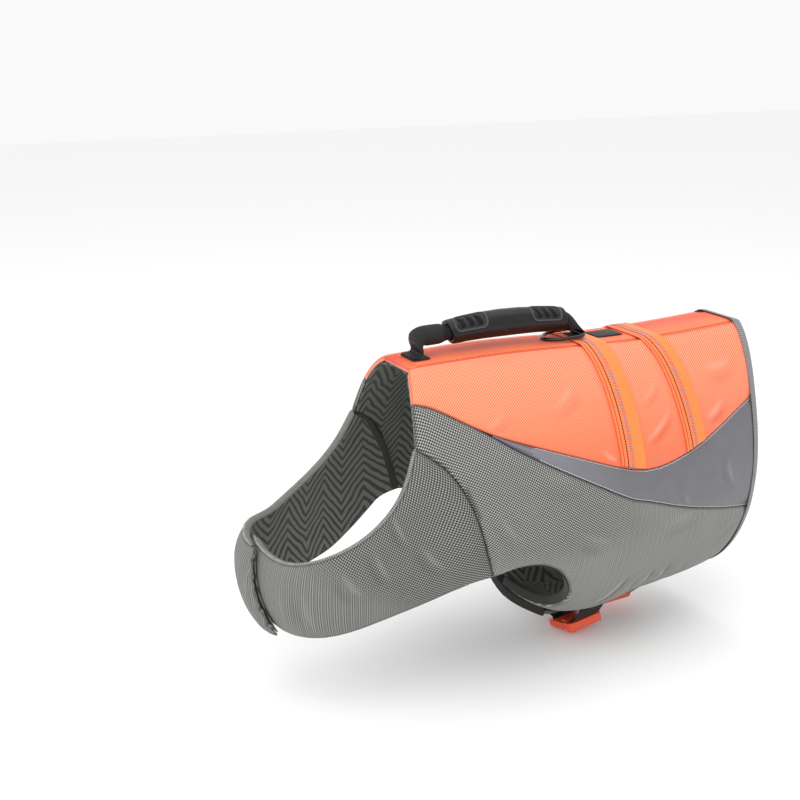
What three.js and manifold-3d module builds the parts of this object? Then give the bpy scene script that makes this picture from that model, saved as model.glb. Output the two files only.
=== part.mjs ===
// A dog life jacket in the shape it has when worn, with no dog in it: foam panels in a cloth shell that hang
// from a flat spine strip, wrap the ribs and close under the belly, and a chest band that closes in front.
// Millimetres, +Z up, +X towards the tail, -Y is the dog's left side. The origin is on the lining, mid-back.
import * as THREE from 'three';
import { mergeVertices } from 'three/addons/utils/BufferGeometryUtils.js';
import Module from 'manifold-3d';

const wasm = await Module();
wasm.setup();

// Driving dimensions
const FOAM = 7; // a panel's thickness, foam and outer cloth
const LINING = 1; // the lining's thickness
const LINING_GAP = 1.3; // between a flat facet of foam and the lining over it
const LINED = FOAM + LINING_GAP + LINING; // from the outside of a panel to the dog
const SEAM_GAP = 0.3; // between two panels at a seam
const EDGE_ROLL = 2.4; // how far a panel's outer face drops at its edge
const ROLL_WIDTH = 5; // how wide that rolled edge is
const STRIP_HALF = 27; // half the width of the flat strip along the spine
const CLEAR = 0.3; // between two pieces that touch
const WEBBING = 1.3; // thickness of one layer of webbing
const STRIP_V = -0.1; // the chart's height at the middle of the spine strip

// Sections across the body from neck to tail: height of the spine, height and half-width of the widest place,
// height of the belly, and how square the shoulder of the section is.
const BODY_SECTIONS = [
  { x: -230, spine: 0, sideZ: -128, half: 84, belly: -235, square: 1.5 },
  { x: -190, spine: 1, sideZ: -142, half: 100, belly: -255, square: 1.5 },
  { x: -150, spine: 2, sideZ: -155, half: 116, belly: -272, square: 1.55 },
  { x: -90, spine: 3, sideZ: -160, half: 124, belly: -284, square: 1.6 },
  { x: -40, spine: 2, sideZ: -158, half: 124, belly: -295, square: 1.6 },
  { x: 20, spine: 0, sideZ: -154, half: 119, belly: -312, square: 1.6 },
  { x: 80, spine: -1, sideZ: -150, half: 111, belly: -302, square: 1.6 },
  { x: 150, spine: 1, sideZ: -148, half: 100, belly: -297, square: 1.6 },
  { x: 222, spine: 5, sideZ: -148, half: 83, belly: -287, square: 1.65 },
];

// The chart of the body: v runs from 0 at the edge of the spine strip to 1 at the middle of the belly.
const NECK_EDGE = [
  { v: -0.1, x: -192 },
  { v: 0, x: -194 },
  { v: 0.12, x: -202 },
  { v: 0.2, x: -206 },
  { v: 0.3, x: -211 },
  { v: 1.2, x: -211 },
];
const REAR_EDGE = [
  { v: -0.1, x: 221 },
  { v: 0, x: 221 },
  { v: 0.3, x: 214 },
  { v: 0.45, x: 220 },
  { v: 0.55, x: 219 },
  { v: 0.7, x: 211 },
  { v: 1, x: 206 },
  { v: 1.2, x: 206 },
];
// The wavy lower edge of the coloured back panel, a from 0 at the neck to 1 at the rear.
const WAVE = [
  { a: 0, v: 0.182 },
  { a: 0.034, v: 0.188 },
  { a: 0.077, v: 0.211 },
  { a: 0.135, v: 0.242 },
  { a: 0.2, v: 0.271 },
  { a: 0.264, v: 0.293 },
  { a: 0.353, v: 0.322 },
  { a: 0.448, v: 0.356 },
  { a: 0.519, v: 0.383 },
  { a: 0.584, v: 0.402 },
  { a: 0.655, v: 0.405 },
  { a: 0.757, v: 0.386 },
  { a: 0.853, v: 0.354 },
  { a: 0.943, v: 0.322 },
  { a: 1, v: 0.303 },
];
// The lower edge of the reflective panel, which starts as a point under the wave.
const FLASH_START = 0.18;
const FLASH = [
  { a: 0.18, v: 0.2665 },
  { a: 0.2, v: 0.28 },
  { a: 0.235, v: 0.3 },
  { a: 0.293, v: 0.331 },
  { a: 0.383, v: 0.377 },
  { a: 0.461, v: 0.42 },
  { a: 0.569, v: 0.488 },
  { a: 0.693, v: 0.539 },
  { a: 0.832, v: 0.579 },
  { a: 1, v: 0.622 },
];
// The seam between chest band and side panel, from the neck edge to the corner behind the leg.
const SHOULDER_SEAM = [
  { t: 0, x: -211.2, v: 0.299 },
  { t: 0.11, x: -195.9, v: 0.315 },
  { t: 0.24, x: -181.5, v: 0.342 },
  { t: 0.42, x: -168.2, v: 0.392 },
  { t: 0.6, x: -159.1, v: 0.458 },
  { t: 0.8, x: -151.7, v: 0.547 },
  { t: 1, x: -139.9, v: 0.635 },
];
// The arch behind the leg and the front rim of the belly flap. The left flap runs on inside the right one.
const ARCH = {
  left: [
    { t: 0, x: -139.9, v: 0.635 },
    { t: 0.07, x: -130.2, v: 0.613 },
    { t: 0.16, x: -115.2, v: 0.597 },
    { t: 0.29, x: -93.2, v: 0.592 },
    { t: 0.42, x: -73, v: 0.609 },
    { t: 0.52, x: -58, v: 0.643 },
    { t: 0.62, x: -44, v: 0.693 },
    { t: 0.74, x: -31, v: 0.77 },
    { t: 0.86, x: -30, v: 0.88 },
    { t: 1, x: -44, v: 1.08 },
  ],
  right: [
    { t: 0, x: -139.9, v: 0.5745 },
    { t: 0.07, x: -130.2, v: 0.573 },
    { t: 0.16, x: -115.2, v: 0.577 },
    { t: 0.29, x: -93.2, v: 0.588 },
    { t: 0.42, x: -73, v: 0.609 },
    { t: 0.52, x: -58, v: 0.643 },
    { t: 0.62, x: -48, v: 0.693 },
    { t: 0.74, x: -44, v: 0.77 },
    { t: 0.88, x: -34, v: 0.88 },
    { t: 1, x: 0, v: 0.97 },
  ],
};
const SIDES = {
  left: { name: 'left', sign: -1, flapEnd: 1.08, chestEnd: 1.16, chestSkew: 0, chestLift: 0, seamReach: 1 },
  right: { name: 'right', sign: 1, flapEnd: 0.97, chestEnd: 1.035, chestSkew: 0.08, chestLift: LINED + 2.1, seamReach: 0.82 },
};
// How much of the right shoulder corner's higher place the lower rim of its chest band takes up. Where it is
// below 0 the band is wider there than the left one.
const RIM_SHARE = [
  { c: 0, share: 1 },
  { c: 0.09, share: 0.92 },
  { c: 0.14, share: 0.55 },
  { c: 0.21, share: 0.15 },
  { c: 0.28, share: -0.12 },
  { c: 0.35, share: -0.4 },
  { c: 0.42, share: -0.43 },
  { c: 0.56, share: -0.3 },
  { c: 0.7, share: -0.15 },
  { c: 0.85, share: 0 },
  { c: 1, share: 0 },
];
// How far the right belly flap hangs below the left one.
const FLAP_SAG = [
  { x: -150, sag: 20 },
  { x: -42, sag: 28 },
  { x: 22, sag: 22 },
  { x: 80, sag: 16 },
  { x: 222, sag: 15 },
];
// The chest band from the shoulder seam, c = 0, to the middle of the chest, c = 1: upper and lower rim.
const CHEST_BAND = [
  { c: 0, ux: -211.2, uy: 75.5, uz: -67.9, lx: -139.9, ly: 107.7, lz: -204.5, bulge: 0 },
  { c: 0.14, ux: -226, uy: 84, uz: -101, lx: -178, ly: 106, lz: -209, bulge: 2 },
  { c: 0.28, ux: -246, uy: 88, uz: -126, lx: -212, ly: 103, lz: -218, bulge: 4 },
  { c: 0.42, ux: -272, uy: 87, uz: -146, lx: -248, ly: 97, lz: -228, bulge: 6 },
  { c: 0.56, ux: -300, uy: 79, uz: -160, lx: -284, ly: 87, lz: -240, bulge: 8 },
  { c: 0.7, ux: -323, uy: 65, uz: -169, lx: -311, ly: 72, lz: -248, bulge: 9 },
  { c: 0.82, ux: -337, uy: 46, uz: -174, lx: -328, ly: 51, lz: -252, bulge: 10 },
  { c: 0.92, ux: -344, uy: 24, uz: -175, lx: -336, ly: 27, lz: -254, bulge: 10 },
  { c: 1, ux: -346, uy: 0, uz: -175, lx: -339, ly: 0, lz: -255, bulge: 10 },
];

const COLOURS = {
  orange: { color: 0xff7a52, roughness: 0.75, metalness: 0 },
  orangeTape: { color: 0xff8438, roughness: 0.65, metalness: 0 },
  grey: { color: 0x888a84, roughness: 0.85, metalness: 0 },
  reflective: { color: 0x7c7b7f, roughness: 0.45, metalness: 0.2 },
  lining: { color: 0x4d504a, roughness: 0.8, metalness: 0 },
  binding: { color: 0x807c7c, roughness: 0.8, metalness: 0 },
  black: { color: 0x1b1b1c, roughness: 0.7, metalness: 0 },
  rubber: { color: 0x222326, roughness: 0.4, metalness: 0 },
  ring: { color: 0x151516, roughness: 0.3, metalness: 0.4 },
  buckle: { color: 0xf0532a, roughness: 0.4, metalness: 0 },
};

const jacket = new THREE.Group();
jacket.position.z = LINED; // the spine's outer face is this far above the lining that the origin lies on

function addPiece(name, geometry, look) {
  const piece = new THREE.Mesh(geometry, new THREE.MeshStandardMaterial(look));
  piece.name = name;
  jacket.add(piece);
  return piece;
}

// A column of a table as a smooth function of another of its columns.
function follow(table, by, column, at) {
  const last = table.length - 1;
  const x = Math.min(Math.max(at, table[0][by]), table[last][by]);
  let i = 0;
  while (i < last - 1 && x > table[i + 1][by]) i += 1;
  const slope = (k) => {
    const before = table[Math.max(k - 1, 0)];
    const after = table[Math.min(k + 1, last)];
    return (after[column] - before[column]) / (after[by] - before[by]);
  };
  const span = table[i + 1][by] - table[i][by];
  const t = (x - table[i][by]) / span;
  const rise = 3 * t * t - 2 * t * t * t;
  const leave = t * (1 - t) * (1 - t);
  const arrive = -t * t * (1 - t);
  const ends = table[i][column] * (1 - rise) + table[i + 1][column] * rise;
  return ends + span * (slope(i) * leave + slope(i + 1) * arrive);
}

function smoothStep(t) {
  const s = Math.min(Math.max(t, 0), 1);
  return s * s * (3 - 2 * s);
}

// A point of the body's outside at length x and height v, on one side.
function bodyPoint(x, v, side) {
  const of = (column) => follow(BODY_SECTIONS, 'x', column, x);
  const spine = of('spine');
  if (v <= 0) return new THREE.Vector3(x, side.sign * STRIP_HALF * (1 - v / STRIP_V), spine);
  const turn = v * Math.PI;
  const sideZ = of('sideZ');
  const half = of('half');
  if (v <= 0.5) {
    const power = 2 / of('square');
    const y = STRIP_HALF + (half - STRIP_HALF) * Math.sin(turn) ** power;
    const z = sideZ + (spine - sideZ) * Math.max(Math.cos(turn), 0) ** power;
    return new THREE.Vector3(x, side.sign * y, z);
  }
  const hang = side.name === 'right' ? smoothStep((v - 0.68) / 0.22) * follow(FLAP_SAG, 'x', 'sag', x) : 0;
  const z = sideZ + (sideZ - of('belly')) * Math.cos(turn) - hang;
  return new THREE.Vector3(x, side.sign * half * Math.sin(turn), z);
}

// The normal of a surface point(p, q) at one place, from its two slopes, turned by sign.
function normalOf(point, p, q, stepP, stepQ, sign) {
  const alongP = point(p + stepP, q).sub(point(p - stepP, q));
  const alongQ = point(p, q + stepQ).sub(point(p, q - stepQ));
  return alongP.cross(alongQ).multiplyScalar(sign).normalize();
}

function bodyNormal(x, v, side) {
  if (v < -0.01) return new THREE.Vector3(0, 0, 1);
  return normalOf((p, q) => bodyPoint(p, q, side), x, v, 1, 0.012, side.sign);
}

// Where the chart's length a and height v lie along x.
function chartX(a, v) {
  const front = follow(NECK_EDGE, 'v', 'x', v);
  return front + (follow(REAR_EDGE, 'v', 'x', v) - front) * a;
}

// Places on a line of the chart, at(0) to at(1), at the given shares of its length on the body.
const LINE_PARTS = 80;
function placesAlong(at, stepsOf, side) {
  const points = [];
  for (let k = 0; k <= LINE_PARTS; k += 1) {
    const { x, v } = at(k / LINE_PARTS);
    points.push(bodyPoint(x, v, side));
  }
  const lengths = [0];
  for (let k = 1; k <= LINE_PARTS; k += 1) lengths.push(lengths[k - 1] + points[k].distanceTo(points[k - 1]));
  const whole = lengths[LINE_PARTS];
  return stepsOf(whole).map((step) => {
    if (step <= 0 || step >= 1) return at(step);
    let k = 1;
    while (lengths[k] < step * whole) k += 1;
    const share = (step * whole - lengths[k - 1]) / (lengths[k] - lengths[k - 1]);
    return at((k - 1 + share) / LINE_PARTS);
  });
}

function placesBetween(from, to, stepsOf, side) {
  const at = (t) => ({ x: from.x + (to.x - from.x) * t, v: from.v + (to.v - from.v) * t });
  return placesAlong(at, stepsOf, side);
}

// A grid over the body with one line of places for each column.
function bodyGrid(lines, side) {
  return {
    points: lines.map((line) => line.map(({ x, v }) => bodyPoint(x, v, side))),
    normals: lines.map((line) => line.map(({ x, v }) => bodyNormal(x, v, side))),
  };
}

// Triangles of a closed body from rings of equal length. Its two ends are closed by the section's own
// triangles, which are given where the section isn't convex, and a loop has no ends.
function closeRings(rings, { loop = false, cap } = {}) {
  const count = rings[0].length;
  const positions = rings.flat().flatMap((p) => [p.x, p.y, p.z]);
  const faces = [];
  const spans = loop ? rings.length : rings.length - 1;
  for (let i = 0; i < spans; i += 1) {
    const next = (i + 1) % rings.length;
    for (let k = 0; k < count; k += 1) {
      const a = i * count + k;
      const b = i * count + ((k + 1) % count);
      const c = next * count + k;
      const d = next * count + ((k + 1) % count);
      faces.push(a, b, c, b, d, c);
    }
  }
  if (!loop) {
    const last = (rings.length - 1) * count;
    const fan = Array.from({ length: count - 2 }, (_, k) => [0, k + 1, k + 2]);
    for (const [a, b, c] of cap ?? fan) faces.push(a, c, b, last + a, last + b, last + c);
  }
  return facingOut(positions, faces);
}

// The same faces, turned round if they enclose a negative volume.
function facingOut(positions, faces) {
  let volume = 0;
  const at = (n) => new THREE.Vector3(positions[3 * n], positions[3 * n + 1], positions[3 * n + 2]);
  for (let n = 0; n < faces.length; n += 3) {
    volume += at(faces[n]).dot(at(faces[n + 1]).cross(at(faces[n + 2])));
  }
  if (volume < 0) faces.reverse();
  const geometry = new THREE.BufferGeometry();
  geometry.setAttribute('position', new THREE.Float32BufferAttribute(positions, 3));
  geometry.setIndex(faces);
  return geometry;
}

// Moves a grid's border in by half a seam's gap, across the border and along the cloth.
function drawnIn({ points, normals }, gap) {
  const last = { i: points.length - 1, j: points[0].length - 1 };
  const moved = points.map((line) => line.map((p) => p.clone()));
  const push = (i, j, inI, inJ, alongI, alongJ) => {
    const clampI = (n) => Math.min(Math.max(n, 0), last.i);
    const clampJ = (n) => Math.min(Math.max(n, 0), last.j);
    const ahead = points[clampI(i + alongI)][clampJ(j + alongJ)];
    const along = ahead.clone().sub(points[clampI(i - alongI)][clampJ(j - alongJ)]).normalize();
    const inward = points[inI][inJ].clone().sub(points[i][j]);
    inward.addScaledVector(along, -inward.dot(along));
    inward.addScaledVector(normals[i][j], -inward.dot(normals[i][j]));
    moved[i][j].addScaledVector(inward.normalize(), gap / 2);
  };
  for (let i = 0; i <= last.i; i += 1) {
    push(i, 0, i, 1, 1, 0);
    push(i, last.j, i, last.j - 1, 1, 0);
  }
  for (let j = 0; j <= last.j; j += 1) {
    push(0, j, 1, j, 0, 1);
    push(last.i, j, last.i - 1, j, 0, 1);
  }
  return { points: moved, normals };
}

// A cloth or foam wall over a grid: from depth top to depth top - thick, its outer face dropped at the rim.
function wall(grid, { top = 0, thick = FOAM, roll = EDGE_ROLL, gap = SEAM_GAP } = {}) {
  const { points, normals } = drawnIn(grid, gap);
  const columns = points.length;
  const rows = points[0].length;
  const positions = [];
  const isRim = (i, j) => i === 0 || j === 0 || i === columns - 1 || j === rows - 1;
  const layer = (height) => {
    for (let i = 0; i < columns; i += 1) {
      for (let j = 0; j < rows; j += 1) {
        const p = points[i][j].clone().addScaledVector(normals[i][j], height(i, j));
        positions.push(p.x, p.y, p.z);
      }
    }
  };
  const topAt = typeof top === 'function' ? top : () => top;
  layer((i, j) => (isRim(i, j) ? topAt(i, j) - roll : topAt(i, j)));
  layer((i, j) => topAt(i, j) - thick);
  const inner = columns * rows;
  const faces = [];
  const apart = (a, b) => Math.hypot(...[0, 1, 2].map((k) => positions[3 * a + k] - positions[3 * b + k]));
  // Each cell is split along its shorter diagonal.
  const quad = (a, b, c, d) => {
    if (apart(a, c) <= apart(b, d)) faces.push(a, b, c, a, c, d);
    else faces.push(a, b, d, b, c, d);
  };
  for (let i = 0; i < columns - 1; i += 1) {
    for (let j = 0; j < rows - 1; j += 1) {
      const a = i * rows + j;
      quad(a, a + 1, a + 1 + rows, a + rows);
      quad(inner + a, inner + a + rows, inner + a + 1 + rows, inner + a + 1);
    }
  }
  const rim = [];
  for (let i = 0; i < columns - 1; i += 1) rim.push(i * rows);
  for (let j = 0; j < rows - 1; j += 1) rim.push((columns - 1) * rows + j);
  for (let i = columns - 1; i > 0; i -= 1) rim.push(i * rows + rows - 1);
  for (let j = rows - 1; j > 0; j -= 1) rim.push(j);
  rim.forEach((a, k) => {
    const b = rim[(k + 1) % rim.length];
    quad(a, b, inner + b, inner + a);
  });
  return facingOut(positions, faces);
}

// Steps from 0 to 1: equal ones, or equal ones between the narrow rolled edges of a panel of that length.
const even = (count) => () => Array.from({ length: count + 1 }, (_, k) => k / count);
const rolled = (count) => (length) => {
  const edge = Math.min(ROLL_WIDTH / length, 0.25);
  return [0, ...even(count)().map((t) => edge + (1 - 2 * edge) * t), 1];
};

// Columns along the back, the same for all panels that share the wave and the flash seams.
const BACK_LENGTH = 415;
const COLUMN_STEP = 0.045;
const backColumns = [0, ROLL_WIDTH / BACK_LENGTH];
for (let k = 1; k * COLUMN_STEP < 1 - COLUMN_STEP / 2; k += 1) backColumns.push(k * COLUMN_STEP);
backColumns.push(1 - ROLL_WIDTH / BACK_LENGTH, 1);
const flashColumns = backColumns.filter((a) => a > FLASH_START - COLUMN_STEP / 2);

const wave = (a) => follow(WAVE, 'a', 'v', a);
const flash = (a) => follow(FLASH, 'a', 'v', a);
const sideTop = (a) => (a < FLASH_START - COLUMN_STEP / 2 ? wave(a) : flash(a));

const placeAt = (a, v) => ({ x: chartX(a, v), v });

// A panel between two seams that are functions of the chart's length.
function panelBetween(columns, upper, lower, rows, side) {
  const lines = columns.map((a) => placesBetween(placeAt(a, upper(a)), placeAt(a, lower(a)), rows, side));
  return bodyGrid(lines, side);
}

// A place on the shoulder seam, which is shorter on the right.
function seamPlace(t, side) {
  const top = SHOULDER_SEAM[0].v;
  const v = top + (follow(SHOULDER_SEAM, 't', 'v', t) - top) * side.seamReach;
  return { x: follow(SHOULDER_SEAM, 't', 'x', t), v };
}

// The side panel's lower edge as one list of places: shoulder seam, arch and the flap's long edge.
const SEAM_LENGTH = 150;
const SEAM_ROWS = rolled(5)(SEAM_LENGTH);
const ARCH_STEPS = 10;
function lowerEdge(side) {
  const seam = SEAM_ROWS.map((t) => seamPlace(t, side));
  const arch = ARCH[side.name];
  const onArch = (t) => ({ x: follow(arch, 't', 'x', t), v: follow(arch, 't', 'v', t) });
  const rim = placesAlong(onArch, even(ARCH_STEPS), side).slice(1);
  const start = rim[rim.length - 1];
  const left = backColumns.length - seam.length - rim.length;
  const end = chartX(1, side.flapEnd);
  const edge = Array.from({ length: left }, (_, k) => {
    const t = (k + 1) / left;
    return { x: start.x + (end - start.x) * t, v: start.v + (side.flapEnd - start.v) * t };
  });
  return [...seam, ...rim, ...edge];
}

// A grid from a seam, or from the middle of the spine, down to the side panel's lower edge.
function sideGrid(side, topOf, rows) {
  const lower = lowerEdge(side);
  const lines = backColumns.map((a, k) => placesBetween(placeAt(a, topOf(a)), lower[k], rows, side));
  return bodyGrid(lines, side);
}

// A point of the chest band's outside. Past c = 1 it runs on round the other side of the chest.
function chestPoint(c, b, side) {
  const across = c > 1 ? -side.sign : side.sign;
  const along = c > 1 ? 2 - c : c;
  const of = (column) => follow(CHEST_BAND, 'c', column, along);
  const upper = new THREE.Vector3(of('ux'), across * of('uy'), of('uz'));
  const lower = new THREE.Vector3(of('lx'), across * of('ly'), of('lz'));
  const foot = seamPlace(1, side);
  const corner = bodyPoint(foot.x, foot.v, side);
  const drawn = CHEST_BAND[0];
  const shift = corner.clone().sub(new THREE.Vector3(drawn.lx, side.sign * drawn.ly, drawn.lz));
  if (c <= 1 && side.seamReach < 1) lower.addScaledVector(shift, follow(RIM_SHARE, 'c', 'share', along));
  const point = upper.clone().lerp(lower, b);
  // Near the shoulder the band takes up the curve of its seam.
  const place = seamPlace(b, side);
  const seam = bodyPoint(place.x, place.v, side);
  const head = seamPlace(0, side);
  const straight = bodyPoint(head.x, head.v, side).lerp(corner, b);
  const hold = (1 - smoothStep(along / 0.6)) ** 2;
  if (c <= 1) point.addScaledVector(seam.sub(straight), hold);
  const outward = new THREE.Vector3(-1, 0, -0.1);
  if (along < 1) {
    const ahead = follow(CHEST_BAND, 'c', 'ux', along + 0.02) - of('ux');
    const inwards = follow(CHEST_BAND, 'c', 'uy', along + 0.02) - of('uy');
    outward.set(inwards, -across * ahead, 0).normalize();
  }
  return point.addScaledVector(outward.normalize(), 4 * b * (1 - b) * of('bulge'));
}

function chestGrid(side, columns) {
  const points = [];
  const normals = [];
  for (const column of columns) {
    const lift = side.chestLift * smoothStep((column - 0.6) / 0.2);
    const ownWeight = smoothStep(column / 0.12);
    const line = SEAM_ROWS.map((b) => {
      const c = column + side.chestSkew * (b - 0.5) * smoothStep((column - 0.4) / 0.6);
      const own = normalOf((p, q) => chestPoint(p, q, side), c, Math.min(Math.max(b, 0.02), 0.98), 0.01, 0.02, -side.sign);
      const { x, v } = seamPlace(b, side);
      const normal = bodyNormal(x, v, side).lerp(own, ownWeight).normalize();
      const point = c === 0 ? bodyPoint(x, v, side) : chestPoint(c, b, side);
      return { point: point.addScaledVector(normal, lift), normal };
    });
    points.push(line.map((place) => place.point));
    normals.push(line.map((place) => place.normal));
  }
  return { points, normals };
}

const CHEST_LENGTH = 240; // from the shoulder seam to the middle of the chest
const chestColumns = (side) => rolled(15)(CHEST_LENGTH * side.chestEnd).map((t) => t * side.chestEnd);

// The panels, each one grid, kept by name because linings and bindings follow them
const grids = {};
const stripRows = [0, ROLL_WIDTH / (2 * STRIP_HALF), 0.5, 1 - ROLL_WIDTH / (2 * STRIP_HALF), 1];
grids.strip = { points: [], normals: [] };
for (const a of backColumns) {
  const x = chartX(a, 0);
  const height = bodyPoint(x, 0, SIDES.left).z;
  grids.strip.points.push(stripRows.map((t) => new THREE.Vector3(x, STRIP_HALF * (2 * t - 1), height)));
  grids.strip.normals.push(stripRows.map((t) => {
    if (t > 0 && t < 1) return new THREE.Vector3(0, 0, 1);
    return bodyNormal(x, 0, t === 0 ? SIDES.left : SIDES.right);
  }));
}
addPiece('spine_strip', wall(grids.strip), COLOURS.orange);

for (const side of Object.values(SIDES)) {
  const { name } = side;
  grids[name] = {
    back: panelBetween(backColumns, () => 0, wave, rolled(6), side),
    glow: panelBetween(flashColumns, wave, flash, rolled(5), side),
    side: sideGrid(side, sideTop, rolled(12)),
    chest: chestGrid(side, chestColumns(side)),
  };
  addPiece(`back_panel_${name}`, wall(grids[name].back), COLOURS.orange);
  addPiece(`reflective_panel_${name}`, wall(grids[name].glow), COLOURS.reflective);
  addPiece(`side_panel_${name}`, wall(grids[name].side), COLOURS.grey);
  addPiece(`chest_band_${name}`, wall(grids[name].chest), COLOURS.grey);
}

// The linings: one from the middle of the back to the belly's edge on each side, and one in each chest band
const insideFoam = { top: -(FOAM + LINING_GAP), thick: LINING, roll: 0, gap: 2.8 };
for (const side of Object.values(SIDES)) {
  const whole = sideGrid(side, () => STRIP_V, even(17));
  addPiece(`lining_${side.name}`, wall(whole, insideFoam), COLOURS.lining);
  const { points, normals } = grids[side.name].chest;
  const everyOther = (line) => line.filter((_, j) => j % 2 === 0 || j === line.length - 1);
  const band = { points: points.map(everyOther), normals: normals.map(everyOther) };
  addPiece(`chest_lining_${side.name}`, wall(band, { ...insideFoam, gap: 2.2 }), COLOURS.lining);
}

// Stations along the edge of a panel: each has the edge's point, the panel's normal and the way out of the panel.
function edgeStations(grid, cells) {
  return cells.map(([i, j, inI, inJ]) => {
    const point = grid.points[i][j];
    const normal = grid.normals[i][j];
    return { point, normal, out: point.clone().sub(grid.points[inI][inJ]) };
  });
}

function squared(stations) {
  return stations.map(({ point, normal, out }, k) => {
    const ahead = stations[Math.min(k + 1, stations.length - 1)].point;
    const along = ahead.clone().sub(stations[Math.max(k - 1, 0)].point).normalize();
    const away = out.clone();
    away.addScaledVector(along, -away.dot(along));
    away.addScaledVector(normal, -away.dot(normal));
    return { point, normal, out: away.normalize() };
  });
}

// Sweeps a flat section, x outwards and y along the normal, along stations.
function sweepSection(stations, outline) {
  const section = outline.map(([x, y]) => new THREE.Vector2(x, y));
  const rings = stations.map(({ point, normal, out }) => section.map(({ x, y }) => {
    return point.clone().addScaledVector(out, x).addScaledVector(normal, y);
  }));
  const cap = THREE.ShapeUtils.triangulateShape(section, []);
  if (THREE.ShapeUtils.isClockWise(section)) cap.forEach((triangle) => triangle.reverse());
  return closeRings(rings, { cap });
}

// A tape folded over an edge, with both flanges of that width.
const BINDING = 0.85;
const BINDING_OVER = 1; // between a binding's outer flange and the panel
const BINDING_UNDER = LINED + 3.1; // depth of a binding's inner flange, clear of the lining's facets
const REAR_FLANGE = 9;
const LEG_FLANGE = 6;
const BINDING_AHEAD = 0.75; // between the panel's edge and the binding
const rearOutline = [
  [-REAR_FLANGE, BINDING_OVER + BINDING],
  [-ROLL_WIDTH, BINDING_OVER + BINDING],
  [BINDING_AHEAD + BINDING, BINDING_OVER + BINDING - EDGE_ROLL],
  [BINDING_AHEAD + BINDING, -BINDING_UNDER - BINDING],
  [-REAR_FLANGE, -BINDING_UNDER - BINDING],
  [-REAR_FLANGE, -BINDING_UNDER],
  [BINDING_AHEAD, -BINDING_UNDER],
  [BINDING_AHEAD, BINDING_OVER - EDGE_ROLL],
  [-ROLL_WIDTH, BINDING_OVER],
  [-REAR_FLANGE, BINDING_OVER],
];
// The leg's binding shows only on the edge and inside.
const legOutline = [
  [BINDING_AHEAD, -EDGE_ROLL],
  [BINDING_AHEAD + BINDING, -EDGE_ROLL],
  [BINDING_AHEAD + BINDING, -BINDING_UNDER - BINDING],
  [-LEG_FLANGE, -BINDING_UNDER - BINDING],
  [-LEG_FLANGE, -BINDING_UNDER],
  [BINDING_AHEAD, -BINDING_UNDER],
];

const rearCells = (grid) => {
  const i = grid.points.length - 1;
  return edgeStations(grid, grid.points[i].map((_, j) => [i, j, i - 1, j]));
};
const rearOf = ({ back, glow, side }) => [...rearCells(back), ...rearCells(glow).slice(1), ...rearCells(side).slice(1)];
const rearPath = [...rearOf(grids.left).reverse(), ...rearCells(grids.strip).slice(1, -1), ...rearOf(grids.right)];
addPiece('rear_binding', sweepSection(squared(rearPath), rearOutline), COLOURS.binding);

const archStart = SEAM_ROWS.length;
for (const side of Object.values(SIDES)) {
  const grid = grids[side.name].side;
  const j = grid.points[0].length - 1;
  const cells = Array.from({ length: ARCH_STEPS }, (_, k) => [archStart + k, j, archStart + k, j - 1]);
  const path = squared(edgeStations(grid, cells));
  addPiece(`leg_binding_${side.name}`, sweepSection(path, legOutline), COLOURS.binding);
}

// The two webbing bands over the back, from the wave on the left to the wave on the right
const BAND_LIFT = 0.8;
const BANDS = {
  front: { frontEdge: [7, 7], rearEdge: [38, 38] },
  rear: { frontEdge: [82, 99], rearEdge: [109, 127] },
};
function waveAt(x) {
  let v = 0.35;
  for (let k = 0; k < 6; k += 1) v = wave((x - chartX(0, v)) / (chartX(1, v) - chartX(0, v)));
  return v;
}
function bandGrid({ frontEdge, rearEdge }) {
  const lines = [0, 0.5, 1].map((t) => {
    const top = frontEdge[0] + (rearEdge[0] - frontEdge[0]) * t;
    const low = frontEdge[1] + (rearEdge[1] - frontEdge[1]) * t;
    return { from: { x: top, v: 0 }, to: { x: low, v: waveAt(low) - 0.005 } };
  });
  const half = (side) => bodyGrid(lines.map(({ from, to }) => placesBetween(from, to, rolled(7), side)), side);
  const left = half(SIDES.left);
  const right = half(SIDES.right);
  const middle = lines.map(({ from }) => bodyPoint(from.x, STRIP_V, SIDES.left));
  const join = (a, b, between) => a.map((line, i) => [...[...line].reverse(), between(i), ...b[i]]);
  return {
    points: join(left.points, right.points, (i) => middle[i]),
    normals: join(left.normals, right.normals, () => new THREE.Vector3(0, 0, 1)),
  };
}
for (const [name, edges] of Object.entries(BANDS)) {
  const grid = bandGrid(edges);
  const last = grid.points[0].length - 1;
  const lying = BAND_LIFT + WEBBING;
  const top = (i, j) => (j === 0 || j === last ? lying - EDGE_ROLL / 2 : lying);
  addPiece(`webbing_band_${name}`, wall(grid, { top, thick: WEBBING, roll: 0, gap: 0 }), COLOURS.orangeTape);
}

// The grip: a moulded sleeve along a gentle arch, with slots across its top at both ends
const GRIP = [
  { x: -140, z: 23.3, radius: 12.4 },
  { x: -138.5, z: 23.5, radius: 13.1 },
  { x: -118, z: 25.3, radius: 13.4 },
  { x: -97, z: 26.6, radius: 14 },
  { x: -75, z: 27, radius: 14.4 },
  { x: -52, z: 26.7, radius: 14.2 },
  { x: -30, z: 25.6, radius: 13.6 },
  { x: -10, z: 24, radius: 13.2 },
  { x: 1, z: 23, radius: 13 },
  { x: 2.5, z: 22.8, radius: 12.3 },
];
const GRIP_BORE = 8.6;
const WEBBING_CORE = 7.9;
const ROUND_SIDES = 16;
const gripHeight = (x) => follow(GRIP, 'x', 'z', x);

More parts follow.
